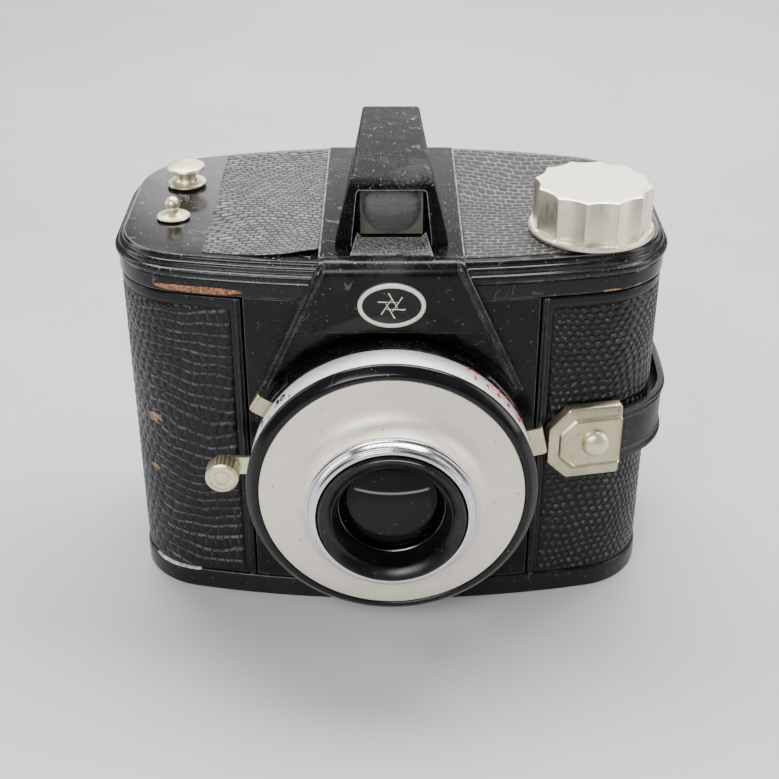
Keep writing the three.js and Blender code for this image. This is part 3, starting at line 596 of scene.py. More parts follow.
def metal(name, color, roughness, grain=(1, 1, 1), grain_scale=600, tarnish=0.25, stain=(0.16, 0.13, 0.08),
          bump=0.05, grit=0.06):
    """Cast, stamped or anodised metal with a faint grain, uneven tarnish and small marks."""
    look = Look(name, color, roughness, 1.0)
    streak = look.noise(grain_scale, 4, 0.6, source=look.stretched(grain))
    cloud = look.noise(160, 5, 0.65)
    marks = look.most(look.times(look.specks(520, grit), 0.6), look.times(look.specks(1500, grit * 1.6), 0.5))
    scratches = look.times(look.fibres(210, 0.02), 0.5)
    crevice = look.times(look.ramp(cloud, 0.45, 0.8), tarnish)
    shade = tuple(c * 0.72 for c in color)
    mixed = look.mix(look.ramp(streak, 0.3, 0.7, 0.0, 0.35), (*color, 1), (*shade, 1))
    mixed = look.mix(look.most(crevice, marks, scratches), mixed, (*stain, 1))
    look.set("Base Color", mixed)
    look.set("Roughness", look.ramp(streak, 0.25, 0.75, roughness * 0.8, roughness * 1.35))
    look.set("Normal", look.bump(streak, bump, 0.0001))
    return look.material


def clear_glass(name, color=(0.93, 0.96, 0.97), roughness=0.02, film=0.08):
    """Glass with a faint film of dust."""
    look = Look(name, color, roughness, Transmission_Weight=1.0, IOR=1.5)
    hazy = look.ramp(look.noise(300, 5, 0.7), 0.55, 0.85, 0.0, film)
    dull = look.most(look.times(look.specks(1100, 0.04), 0.5), hazy)
    look.set("Roughness", look.plus(dull, roughness))
    return look.material


def lens_with_painted_glint(name, centre):
    """Front lens: opaque and nearly black seen from outside, with painted shade over its upper part and a
    painted reflection as a thin upturned arc.
    """
    look = Look(name, (0.004, 0.004, 0.005), 0.05, Specular_IOR_Level=0.16)
    flat = look.stretched((1, 0, 1))
    # Painted reflection: a thin light upturned arc across the upper part of the lens.
    turned = look.node("VectorMath", {0: flat, 1: (0, 0, centre.z + 0.0472)}, operation="DISTANCE")
    off_arc = look.size(look.minus(turned.outputs["Value"], 0.0430))
    ends = look.size(look.node("SeparateXYZ", {"Vector": look.coords}).outputs["X"])
    painted_glint = look.times(look.ramp(off_arc, 0.0004, 0.0001), look.ramp(ends, 0.0086, 0.0078))
    # Painted shade over the upper part of the lens; the disc below it is left a little lighter.
    above = look.window("Z", centre.z + 0.0015, centre.z + 0.004)
    inner = look.node("VectorMath", {0: flat, 1: (0, 0, centre.z - 0.0005)}, operation="DISTANCE")
    disc_below_painted_shade = look.times(look.ramp(inner.outputs["Value"], 0.0095, 0.0088), look.minus(1.0, above))
    shade = look.mix(disc_below_painted_shade, (0.002, 0.002, 0.003, 1), (0.008, 0.009, 0.010, 1))
    grains = look.times(look.specks(1800, 0.05), 0.35)
    # pale: the painted reflection together with dust grains.
    pale = look.most(look.times(painted_glint, 0.5), grains)
    look.set("Base Color", look.mix(pale, shade, (0.45, 0.45, 0.44, 1)))
    return look.material


def painted(name, color=(0.014, 0.014, 0.015), roughness=0.42, dust=0.25):
    """Semi-matt black paint with dust."""
    look = Look(name, color, roughness, Specular_IOR_Level=0.35)
    cloud = look.noise(240, 5, 0.6)
    settled = look.times(look.most(look.specks(800, 0.08), look.ramp(cloud, 0.5, 0.9, 0, 0.35)), dust)
    look.set("Base Color", look.mix(settled, (*color, 1), (0.4, 0.4, 0.4, 1)))
    look.set("Roughness", look.ramp(cloud, 0.3, 0.7, roughness * 0.8, roughness * 1.3))
    look.set("Normal", look.bump(look.noise(1800, 3), 0.08, 0.0001))
    return look.material


# ---------------------------------------------------------------- the set of materials
# The cover's pale bead edges are set strong: partly wear and chips, partly painted highlight along the bead.
COVER_LOOK = black_plastic("cover_black", dust=0.8, wear_and_highlight=1.15, roughness=0.15, edge_radius=0.0007,
                           marks=skirt_rust)
GLOSS_LOOK = black_plastic("gloss_black", dust=0.7, wear_and_highlight=0.7, roughness=0.16)
RING_LOOK = black_plastic("ring_black", dust=0.12, wear_and_highlight=0.1, roughness=0.16)
DUSTY_LOOK = black_plastic("dusty_black", dust=1.4, wear_and_highlight=1.0, roughness=0.26, shine=0.015)
STRIP_LOOK = black_plastic("strip_black", dust=0.8, wear_and_highlight=0.8, roughness=0.2, shine=0.03)
SILL_LOOK = black_plastic("sill_black", dust=3.0, wear_and_highlight=0.8, roughness=0.4, haze=1.0)
APRON_LOOK = black_plastic("apron_black", dust=0.9, wear_and_highlight=0.75, roughness=0.16, edge_radius=0.0002,
                           shine=0.18)
PANEL_LOOK = black_plastic("panel_black", dust=0.55, wear_and_highlight=0.3, roughness=0.18, shine=0.18)
PLINTH_LOOK = black_plastic("plinth_black", dust=0.5, wear_and_highlight=0.9, roughness=0.28, marks=plinth_chip)
STRAP_LOOK = black_plastic("strap_black", dust=0.5, wear_and_highlight=0.4, roughness=0.36)
# The light colours of the grained coverings are painted highlight on their scales, partly wear.
BRICK_LEATHER = leatherette("brick_leather", BLACK, (0.155, 0.155, 0.16), 0.26, BRICK_GRAIN,
                            marks=rubbed_through)
BEAD_LEATHER = leatherette("bead_leather", BLACK, (0.115, 0.115, 0.12), 0.22, BEAD_GRAIN, "bead")
TOP_LEATHER_LEFT = leatherette("grey_leather", (0.006, 0.006, 0.006), (0.36, 0.35, 0.335), 0.42,
                               FINE_GRAIN, "dome", even=0.6)
TOP_LEATHER_RIGHT = leatherette("dark_leather", (0.02, 0.02, 0.02), (0.34, 0.335, 0.32), 0.42,
                                MESH_GRAIN, "crease", even=0.5)
CREAM_LOOK = metal("cream_metal", (0.87, 0.81, 0.57), 0.4, (1, 1, 1), 900, 0.2, (0.3, 0.23, 0.1))
PLATE_LOOK = metal("plate_metal", (0.66, 0.60, 0.41), 0.38, (1, 1, 1), 900, 0.35, (0.25, 0.2, 0.1),
                   bump=0.06, grit=0.1)
KNOB_LOOK = metal("knob_metal", (0.97, 0.92, 0.72), 0.42, (1, 1, 0.3), 900, 0.18, (0.5, 0.44, 0.26),
                  bump=0.08, grit=0.03)
SILVER_LOOK = metal("satin_silver", (0.97, 0.92, 0.80), 0.54, (1, 1, 1), 2600, 0.1, (0.46, 0.41, 0.34),
                    bump=0.16, grit=0.07)
BAND_LOOK = metal("band_silver", (1.0, 0.99, 0.96), 0.6, (1, 1, 1), 2600, 0.04, (0.5, 0.5, 0.5),
                  bump=0.05, grit=0.02)
CHROME_LOOK = metal("chrome", (0.72, 0.72, 0.73), 0.19, (1, 1, 1), 900, 0.1, (0.25, 0.25, 0.25),
                    bump=0.0, grit=0.02)
STEEL_LOOK = metal("steel", (0.5, 0.5, 0.51), 0.34, (1, 6, 1), 700, 0.3, (0.15, 0.12, 0.1))
BRASS_LOOK = metal("brass", (0.62, 0.45, 0.17), 0.32, (1, 1, 5), 700, 0.35, (0.2, 0.12, 0.04))
BLACK_METAL = painted("black_metal")
LIP_LOOK = metal("lip_black", (0.10, 0.10, 0.105), 0.22)
TUBE_LOOK = painted("tube_black", (0.005, 0.005, 0.0055), 0.3, 0.12)
INSIDE_LOOK = painted("inside_black", (0.012, 0.012, 0.013), 0.6, 0.12)
FELT_LOOK = painted("felt", (0.01, 0.01, 0.01), 0.95, 0.3)
FIBRE_LOOK = painted("fibre", (0.22, 0.08, 0.04), 0.6, 0.2)
GLASS_LOOK = clear_glass("clear_glass", (0.5, 0.5, 0.5), 0.03, 0.02)
LENS_LOOK = lens_with_painted_glint("lens_glass", middle("face_plate") * MM)
RED_GLASS = clear_glass("red_glass", (0.6, 0.02, 0.015))

CAD_LOOKS = {
    "black_plastic": INSIDE_LOOK, "leatherette": BRICK_LEATHER, "top_leather": TOP_LEATHER_LEFT,
    "strap_black": STRAP_LOOK, "cream_metal": CREAM_LOOK, "satin_silver": SILVER_LOOK,
    "chrome": CHROME_LOOK, "black_metal": BLACK_METAL, "steel": STEEL_LOOK, "brass": BRASS_LOOK,
    "glass": GLASS_LOOK, "red_glass": RED_GLASS, "felt": FELT_LOOK, "fibre": FIBRE_LOOK,
}
for part in frame["record"]["subparts"]:
    cad_mesh = frame["nodes"][part["node"]].data
    cad_mesh.materials.clear()
    cad_mesh.materials.append(CAD_LOOKS[part["material_slot"]])


# ---------------------------------------------------------------- covered wall, plinth and top cover
GRAIN_STEP = 0.4  # spacing of the grained meshes
FRAME_WIDTH = 2.2  # smooth moulded border of the covered wall
GROOVE_WIDTH = 0.6
WRAP_THICKNESS = 0.8


def wall_relief(u, v, length, x):
    """Offset from the wall's outer face, and the grain values, at u along the wall and height v.

    The covering is in two pieces that meet at the middle of the back, x = 0.
    """
    inside = min(u, length - u, WALL_TOP - v)
    if inside < FRAME_WIDTH:
        return 0.0, SMOOTH
    if abs(x) < 0.25:
        return -0.45, SMOOTH
    grain = BEAD_GRAIN if x > 0 else BRICK_GRAIN
    height, (across, up) = grain.at(u, v)
    if inside < FRAME_WIDTH + GROOVE_WIDTH:
        share = (inside - FRAME_WIDTH) / GROOVE_WIDTH
        return -0.35 * math.sin(math.pi * share) - 0.25 * share, (across, up, 0.0, 0.0)
    fade = min(1.0, (inside - FRAME_WIDTH - GROOVE_WIDTH) / 0.5, (v - WALL_BOTTOM) / 0.6)
    return -0.25 + height * fade, (across, up, 0.0, fade)


def wrap_path(offset):
    """Plan points of the wrap, from the right edge of the opening round the back to the left edge."""
    right = half_outline(offset, OPENING, (36, 80, 70, 110), side_steps=60)
    return right + [(-x, y) for x, y in reversed(right[:-1])]


def wrap_levels():
    """Pairs of offset and height from the foot up. The offset is None where the grain sets it."""
    roll = 0.35
    tall = WALL_TOP - WALL_BOTTOM - 2 * roll
    rows = round(tall / GRAIN_STEP)
    levels = [(-WRAP_THICKNESS, WALL_BOTTOM), (-roll, WALL_BOTTOM), (-0.1, WALL_BOTTOM + 0.1)]
    levels += [(None, WALL_BOTTOM + roll + tall * i / rows) for i in range(rows + 1)]
    return levels + [(-0.1, WALL_TOP - 0.1), (-roll, WALL_TOP), (-WRAP_THICKNESS, WALL_TOP)]


def wrap_wall():
    """Leatherette wrap from one side of the front opening, round the back, to the other."""
    path, inner = wrap_path(0), wrap_path(-WRAP_THICKNESS)
    lengths = [0.0]
    for a, b in zip(path, path[1:]):
        lengths.append(lengths[-1] + math.dist(a, b))
    grain_values = {}
    rings = []
    for offset, z in wrap_levels():
        ring = []
        for u, a, b in zip(lengths, path, inner):
            values = None
            depth = offset
            if offset is None:
                depth, values = wall_relief(u, z, lengths[-1], a[0])
            share = -depth / WRAP_THICKNESS
            point = (a[0] + (b[0] - a[0]) * share, a[1] + (b[1] - a[1]) * share, z)
            if values:
                grain_values[position_key(point)] = values
            ring.append(point)
        rings.append(ring)
    bm = bmesh.new()
    verts = bridge(bm, rings, closed=False)
    bm.faces.new([ring[0] for ring in verts])
    bm.faces.new([ring[-1] for ring in reversed(verts)])
    for i in range(len(path) - 1):
        bm.faces.new((verts[0][i + 1], verts[0][i], verts[-1][i], verts[-1][i + 1]))
    obj = finish_mesh("leather_wrap", bm, sharp_angle=70)
    store_grain(obj, grain_values)
    return obj


def piping(name, x_edge):
    """A half-round bead that runs up one edge of the opening."""
    wall = on_wall(x_edge)
    rings = []
    for z in (WALL_BOTTOM, WALL_TOP):
        rings.append([tuple(wall @ Vector((x, -y, z))) for x, y in arc(0, 0, 0.55, 0, 180, 8)])
    return loft(name, rings)


def ring_solid(name, profile):
    """A profile of (offset, z) swept round the whole outline, its first and last rings filled in."""
    return loft(name, [[(x, y, z) for x, y in outline(offset)] for offset, z in profile])


wall = place(wrap_wall(), "shell", "leatherette", BEAD_LEATHER, "leather_cover")
wall.data.materials.append(BRICK_LEATHER)
for face in wall.data.polygons:
    if face.center.x < 0:
        face.material_index = 1
window_hole = [(0, 25), (4.8, 25), (4.8, 50), (0, 50)]
window_tool = lathe("window_tool", window_hole, middle("film_window"), segments=48)
cut_with(wall, window_tool)

place(piping("piping_left", -OPENING - 0.9), "shell", "leatherette", GLOSS_LOOK)
place(piping("piping_right", OPENING + 0.9), "shell", "leatherette", GLOSS_LOOK)

plinth_profile = [(-3, 3), (-3, PLINTH_TOP), (0.1, PLINTH_TOP), (0.4, PLINTH_TOP - 0.9), (0.4, 0), (-2, 0)]
plinth = ring_solid("plinth", rounded(plinth_profile, 0.5, is_open=True))
BUSH = middle("tripod_bush")
LOCK = middle("base_lock_key")
cut_with(plinth, lathe("bush_tool", [(0, -1), (6.3, -1), (6.3, 8), (0, 8)], BUSH, "Z", 64),
         lathe("key_tool", [(0, -1), (10.5, -1), (10.5, 1.4), (2.8, 1.4), (2.8, 8), (0, 8)], LOCK, "Z", 64))
place(plinth, "shell", "black_plastic", PLINTH_LOOK, "base_plate")

COVER_EDGE = [
    (-1.9, COVER_TOP - 2.2), (-1.9, COVER_BOTTOM), (0.2, COVER_BOTTOM), (0.35, COVER_BOTTOM + 0.5),
    (0.35, BEAD_Z - 1.6), (0.1, BEAD_Z - 1.2), (0.15, BEAD_Z - 0.95), (0.95, BEAD_Z - 0.7), (1.05, BEAD_Z),
    (0.9, BEAD_Z + 0.6), (0.2, BEAD_Z + 0.8), (-0.1, BEAD_Z + 1.1), (0.0, BEAD_Z + 1.7),
    (-0.35, BEAD_Z + 2.1), (-0.95, BEAD_Z + 2.3), (-1.0, COVER_TOP - 0.5), (-1.5, COVER_TOP),
]
cover = ring_solid("cover", rounded(COVER_EDGE, 0.35, is_open=True))
place(cover, "inner_unit", "black_plastic", COVER_LOOK, "top_cover")


# ---------------------------------------------------------------- front panel, top leather
def front_panel():
    """Smooth skin over the panel between the two ends of the leatherette."""
    half = PANEL_HALF
    bow = [(x, FRONT_BOW_Y - math.sqrt((FRONT_BOW_R - 0.25) ** 2 - x * x)) for x in
           [half * (i / 16 - 1) for i in range(33)]]
    bm = bmesh.new()
    bottom, top = WALL_BOTTOM, COVER_BOTTOM - 0.3
    rings = [[(x, y + 0.6, bottom) for x, y in bow], [(x, y, bottom) for x, y in bow],
             [(x, y, top) for x, y in bow], [(x, y + 0.6, top) for x, y in bow]]
    rings.append(rings[0])
    verts = bridge(bm, rings, closed=False)
    for end in (0, -1):
        bm.faces.new([ring[end] for ring in verts[:-1]])
    return finish_mesh("front_panel", bm)


place(front_panel(), "inner_unit", "black_plastic", PANEL_LOOK)


def edge_at(offset, x):
    """Front and back y of the outline at x."""
    points = outline(offset)
    ys = []
    for (x0, y0), (x1, y1) in zip(points, points[1:] + points[:1]):
        if (x0 - x) * (x1 - x) <= 0 and x0 != x1:
            ys.append(y0 + (y1 - y0) * (x - x0) / (x1 - x0))
    return min(ys), max(ys)


SHEET_STEP = 0.29
SHEET_ROWS = 200
SHEET_THICKNESS = 0.5


def sheet_grids(x0, x1, columns, grain, front_inset, lift):
    """Points under and over the sheet, column by column, and the grain values of those over it."""
    rows = SHEET_ROWS
    bottom = COVER_TOP - 0.15
    grain_values = {}
    grids = ([], [])
    for i in range(columns + 1):
        x = x0 + (x1 - x0) * i / columns
        y0, y1 = edge_at(-3.0, x)
        y0 += front_inset(x)
        y0 += 0.12 * noise.noise(Vector((x * 1.3, 5, 0)))
        below, above = [], []
        for j in range(rows + 1):
            y = y0 + (y1 - y0) * j / rows
            z = bottom + lift(x) * max(0.0, 1 - (y - y0) / 9) ** 2
            z += 0.05 * noise.noise(Vector((x * 0.2, y * 0.2, 3)))
            from_edge = min(x - x0, x1 - x, y - y0, y1 - y)
            height, (across, up) = grain.at(x + 300, y + 200)
            top = z + SHEET_THICKNESS - grain.relief + height * min(1.0, from_edge / 0.5)
            below.append((x, y, z))
            above.append((x, y, top))
            grain_values[position_key(above[-1])] = (across, up, 0.0, 1.0)
        grids[0].append(below)
        grids[1].append(above)
    return *grids, grain_values


def top_sheet(name, x0, x1, grain, front_inset, lift):
    """A thin grained sheet on the top cover. front_inset and lift shape its front edge by x."""
    columns, rows = round((x1 - x0) / SHEET_STEP), SHEET_ROWS
    below, above, grain_values = sheet_grids(x0, x1, columns, grain, front_inset, lift)
    bm = bmesh.new()
    upper = bridge(bm, above, closed=False)
    lower = bridge(bm, below, closed=False)
    places = [(i, 0) for i in range(columns + 1)] + [(columns, j) for j in range(1, rows + 1)]
    places += [(i, rows) for i in reversed(range(columns))] + [(0, j) for j in reversed(range(1, rows))]
    for (i, j), (k, n) in zip(places, places[1:] + places[:1]):
        bm.faces.new((upper[k][n], upper[i][j], lower[i][j], lower[k][n]))
    obj = finish_mesh(name, bm, sharp_angle=60)
    store_grain(obj, grain_values)
    return obj


# The left sheet has come loose at its front corner, next to the finder.
left_start, left_end = low("top_leather_left").x, high("top_leather_left").x
right_start, right_end = low("top_leather_right").x, high("top_leather_right").x
leather_left = top_sheet(
    "top_leather_sheet_left", left_start, left_end, FINE_GRAIN,
    lambda x: 0.3 + 2.6 * max(0.0, (x + 30) / 13) ** 2,
    lambda x: 1.1 * max(0.0, min(1.0, (x + 36) / 16)) ** 1.5,
)
place(leather_left, "inner_unit", "top_leather", TOP_LEATHER_LEFT, "top_leather_left")
leather_right = top_sheet(
    "top_leather_sheet_right", right_start, right_end - 0.6, MESH_GRAIN, lambda x: 0.4, lambda x: 0.0)
place(leather_right, "inner_unit", "top_leather", TOP_LEATHER_RIGHT, "top_leather_right")


# ---------------------------------------------------------------- finder
FINDER_FRONT = -29.9
FINDER_BACK = 22.0
FINDER_TOP = high("finder_housing").z
STRIP_FRONT = low("finder_housing").y
STRIP_HALF = high("finder_housing").x
STRIP_BACK = 33
FINDER_TAPER = 0.24
FINDER_BASE = COVER_TOP + 0.3
TOP_HALF = 9.45
BASE_HALF = 13.0


def tunnel_section(y):
    """Outer and inner outline of the finder at y, both starting at the lower left."""
    k = 1 - FINDER_TAPER * (y - FINDER_FRONT) / (FINDER_BACK - FINDER_FRONT)
    flank = [
        (-BASE_HALF, FINDER_BASE), (-BASE_HALF + 0.45, FINDER_BASE + 3),
        (-BASE_HALF + 1.2, FINDER_BASE + 6.5), (-TOP_HALF - 0.75, FINDER_TOP - 3.4),
        (-TOP_HALF, FINDER_TOP - 0.5), (-TOP_HALF + 0.6, FINDER_TOP)]
    outer = flank + [(-x, z) for x, z in reversed(flank)]
    wall = [(-9.0, FINDER_BASE), (-8.9, FINDER_BASE + 3), (-8.5, FINDER_BASE + 6.5), (-7.9, FINDER_TOP - 3.4),
            (-7.7, FINDER_TOP - 2.0), (-7.3, FINDER_TOP - 1.6)]
    inner = wall + [(-x, z) for x, z in reversed(wall)]
    return [(x * k, z) for x, z in outer], [(x * k, z) for x, z in inner]


def finder_trunk():
    """The hollow housing, its front edge rolled over."""
    depth = FINDER_BACK - FINDER_FRONT
    stations = [0.0, 0.12, 0.35, 0.7] + [depth * i / 12 for i in range(1, 13)]
    outer_rings, inner_rings = [], []
    for back in stations:
        outer, inner = tunnel_section(FINDER_FRONT + back)
        roll = 0.7 - math.sqrt(0.49 - (0.7 - min(back, 0.7)) ** 2)
        outer = [(x * (1 - roll / BASE_HALF), z - roll * (z - FINDER_BASE) / (FINDER_TOP - FINDER_BASE))
                 for x, z in outer]
        outer_rings.append([(x, FINDER_FRONT + back, z) for x, z in rounded(outer, 0.5, 2)])
        inner_rings.append([(x, FINDER_FRONT + back, z) for x, z in rounded(inner, 0.3, 2)])
    bm = bmesh.new()
    bridge(bm, outer_rings + list(reversed(inner_rings)) + outer_rings[:1])
    return finish_mesh("finder_trunk", bm)


def finder_strip():
    """The flat strip under the finder, its top edge eased."""
    half = STRIP_HALF
    strip_outline = [(-half, STRIP_FRONT), (half, STRIP_FRONT), (half, STRIP_BACK), (-half, STRIP_BACK)]
    rings = []
    for grow, z in ((0, FINDER_BASE - 0.2), (0, FINDER_BASE + 0.7), (-0.25, FINDER_BASE + 0.9)):
        rings.append([(x + math.copysign(grow, x), y + math.copysign(grow, y), z)
                      for x, y in rounded(strip_outline, 0.8)])
    return loft("finder_strip", rings)


def sill():
    """A ramp with narrow slanted cheeks, from the strip's front edge up to the front lens."""
    z0, z1 = FINDER_BASE + 0.85, FINDER_BASE + 1.9
    near, far = STRIP_FRONT + 0.4, -27.2
    rings = []
    for t in [i / 10 for i in range(11)]:
        y = near + (far - near) * t
        z = z0 + (z1 - z0) * t ** 1.15
        half = 9.3 - 1.5 * t
        floor_half = half - 0.4 - 0.8 * t
        rings.append([(-half - 0.1, y, z0 - 0.3), (-half, y, z + 1.3 * t), (-floor_half, y, z),
                      (floor_half, y, z), (half, y, z + 1.3 * t), (half + 0.1, y, z0 - 0.3)])
    return loft("finder_sill", rings)


place(finder_trunk(), "inner_unit", "black_plastic", DUSTY_LOOK, "finder_housing")
place(finder_strip(), "inner_unit", "black_plastic", STRIP_LOOK)
place(sill(), "inner_unit", "black_plastic", SILL_LOOK)


def finder_lens(name, node, bulge, y_front):
    """A square pane with a round dome moulded on its front."""
    centre, y_back = middle(node), high(node).y
    half, tall = half_size(node).x, half_size(node).z
    dome_r = half * 0.93
    steps = 30
    bm = bmesh.new()
    rows = []
    for j in range(steps + 1):
        z = tall * (2 * j / steps - 1)
        row = []
        for i in range(steps + 1):
            x = half * (2 * i / steps - 1)
            inside = max(0.0, 1 - (x * x + (z - 1.2) ** 2) / dome_r ** 2)
            row.append((x, y_front - bulge * math.sqrt(inside), centre.z + z))
        rows.append(row)
    verts = bridge(bm, rows, closed=False)
    back = []
    for row in (verts[0], verts[-1]):
        back.append([bm.verts.new((v.co.x, y_back, v.co.z)) for v in (row[0], row[-1])])
    bm.faces.new((back[0][0], back[0][1], back[1][1], back[1][0]))
    bm.faces.new(verts[0] + [back[0][1], back[0][0]])
    bm.faces.new(verts[-1] + [back[1][1], back[1][0]])
    bm.faces.new([row[0] for row in verts] + [back[1][0], back[0][0]])
    bm.faces.new([row[-1] for row in verts] + [back[1][1], back[0][1]])
    return finish_mesh(name, bm)


def finder_glass():
    """Glass gone dusty: grey along the top, olive in the corners outside the dome."""
    look = Look("finder_glass", (0.36, 0.36, 0.37), 0.06, Transmission_Weight=1.0, IOR=1.5)
    centre = middle("finder_front_lens") * MM
    flat = look.stretched((1, 0, 1))
    offset = look.node("VectorMath", {0: flat, 1: (0, 0, centre.z + 1.2 * MM)}, operation="DISTANCE")
    corner = look.ramp(offset.outputs["Value"], 0.0064, 0.0071)
    mottled = look.ramp(look.noise(450, 5, 0.7), 0.3, 0.62, 0.25, 0.9)
    top = look.times(look.window("Z", centre.z + 0.001, centre.z + 0.0035), mottled)
    grains = look.times(look.specks(1300, 0.3), 0.8)
    film = look.most(look.times(corner, 0.9), top, grains, 0.25)
    dirt = look.mix(corner, (0.05, 0.05, 0.05, 1), (0.11, 0.095, 0.06, 1))
    look.set("Base Color", look.mix(film, (0.36, 0.36, 0.37, 1), dirt))
    look.set("Transmission Weight", look.minus(1.0, film))
    look.set("Roughness", look.ramp(film, 0, 1, 0.05, 0.6))
    return look.material


FINDER_GLASS = finder_glass()
for end, bulge, y_front in (("front", 1.4, -25.8), ("rear", 0.9, 17.0)):
    pane = finder_lens(f"finder_lens_{end}", f"finder_{end}_lens", bulge, y_front)
    place(pane, "inner_unit", "glass", FINDER_GLASS, f"finder_{end}_lens")


# ---------------------------------------------------------------- apron and badge
APRON_FRONT = low("front_apron").y
APRON_TOP = high("front_apron").z
APRON_TOP_HALF = 15.9
APRON_FLARE = 0.46
APRON_BOTTOM = 63.1
APRON_ARCH_R = 34.6
ARCH_TOP = 77.6  # below this line the apron leans back towards the body
APRON_FLANK = [  # (outwards, forwards) across the double ridge down each side, from the back edge in
    (0.0, 1.9), (0.0, -0.35), (-0.25, -0.6), (-0.75, -0.6), (-1.0, -0.35), (-1.15, 0.15), (-1.5, 0.2),
    (-1.65, -0.15), (-1.95, -0.15), (-2.15, 0.0),
]


def apron_half(z):
    return APRON_TOP_HALF + APRON_FLARE * (APRON_TOP - z)


def apron_rows():
    """Pairs of y and z down the middle of the apron."""
    roll = 3.4
    rows = [(STRIP_FRONT - 0.35, APRON_TOP)]
    rows += [(APRON_FRONT + roll - y, APRON_TOP - roll + z) for z, y in arc(0, 0, roll, 0, 90, 8)]
    rows += [(APRON_FRONT, z) for z in (86, 83, 80, ARCH_TOP + 0.5, ARCH_TOP)]
    rows += [(APRON_FRONT + 0.5 + 0.9 * t, ARCH_TOP - 0.5 + (APRON_BOTTOM - ARCH_TOP + 0.5) * t)
             for t in (0.0, 0.25, 0.5, 0.75, 1.0)]
    return rows


def apron():
    """A curved face that rolls over at its top edge and carries a double ridge down each flank."""
    back = APRON_FRONT + 2.0
    across = 24
    bm = bmesh.new()
    rings = []
    for y, z in apron_rows():
        half = apron_half(z)
        ridge_y = APRON_FRONT if z < ARCH_TOP else y
        left = [(-half - dx, ridge_y + dy, z) for dx, dy in APRON_FLANK]
        face = [((half - 2.4) * (2 * i / across - 1), y, z) for i in range(across + 1)]
        rings.append(left + face + [(-x, yy, zz) for x, yy, zz in reversed(left)])
    front = bridge(bm, rings, closed=False)
    edge = front[0] + [row[-1] for row in front[1:-1]] + list(reversed(front[-1]))
    edge += [row[0] for row in reversed(front[1:-1])]
    behind = {}
    for v in edge:
        drop = 0.8 if v.co.z > APRON_TOP - 0.5 else 0.0
        behind[v] = bm.verts.new((v.co.x, max(v.co.y + 0.6, back), v.co.z - drop))
    for i, a in enumerate(edge):
        b = edge[(i + 1) % len(edge)]
        bm.faces.new((b, a, behind[a], behind[b]))
    bm.faces.new([behind[v] for v in edge])
    obj = finish_mesh("apron", bm)
    tool = lathe("apron_tool", [(0, -50), (APRON_ARCH_R, -50), (APRON_ARCH_R, -30), (0, -30)],
                 Vector((0, 0, LENS_Z)), segments=128)
    return cut_with(obj, tool)


place(apron(), "inner_unit", "black_plastic", APRON_LOOK, "front_apron")


def ellipse(a, b):
    angles = [math.radians(5 * i) for i in range(72)]
    return [(a * math.cos(t), b * math.sin(t)) for t in angles]


def badge():
    """Oval medallion: a silver rim and six iris blades over a black field."""
    centre = middle("badge")
    a, b = half_size("badge").x, half_size("badge").z
    at = Matrix.Translation((centre.x, APRON_FRONT - 0.02, centre.z))
    field = extrude_outline("badge_field", ellipse(a - 0.5, b - 0.5), at, 0.55)
    place(field, "inner_unit", "satin_silver", GLOSS_LOOK, "badge")
    bm = bmesh.new()
    rings = []
    for grow, depth in ((0, 0), (0, 0.75), (-0.2, 0.95), (-0.85, 0.95), (-1.0, 0.8), (-1.0, 0.3)):
        rings.append([tuple(at @ Vector((x, -depth, z))) for x, z in ellipse(a + grow, b + grow)])
    bridge(bm, rings + [rings[0]])
    place(finish_mesh("badge_rim", bm), "inner_unit", "satin_silver", SILVER_LOOK)
    for k in range(6):
        turn = Matrix.Rotation(math.radians(60 * k), 4, "Y")
        blade = [(1.35, -0.78), (1.35, -0.53), (-0.55, 3.15), (-0.85, 3.1)]
        obj = extrude_outline(f"badge_blade_{k}", blade, at @ turn, 0.72, 0.06, 1)
        place(obj, "inner_unit", "satin_silver", SILVER_LOOK)


badge()


# ---------------------------------------------------------------- lens barrel, rings and lens
LENS_AT = Vector((0, 0, LENS_Z))
SCALE_BACK = high("scale_ring").y
SCALE_FRONT = low("scale_ring").y
FACE = low("face_plate").y
FACE_R = half_size("face_plate").x
RING_FRONT = low("chrome_ring").y
TUBE_FRONT = low("lens_tube").y
LEVER_BACK = high("release_lever").y
LEVER_FRONT = low("release_lever").y


def ring_sector(name, r0, r1, a0, a1, y0, y1):
    """Part of a flat ring about the lens axis; angles in degrees from +X towards +Z."""
    rings = []
    for a, b in zip(arc(0, LENS_Z, r0, a0, a1, 14), arc(0, LENS_Z, r1, a0, a1, 14)):
        rings.append([(a[0], y0, a[1]), (b[0], y0, b[1]), (b[0], y1, b[1]), (a[0], y1, a[1])])
    return loft(name, rings)


def turned(name, profile, soften, slot, look, *stands_for, segments=192):
    """A piece turned about the lens axis, its corners softened, fixed to the inner unit."""
    obj = lathe(name, rounded(profile, soften, 2), LENS_AT, segments=segments)
    return place(obj, "inner_unit", slot, look, *stands_for)


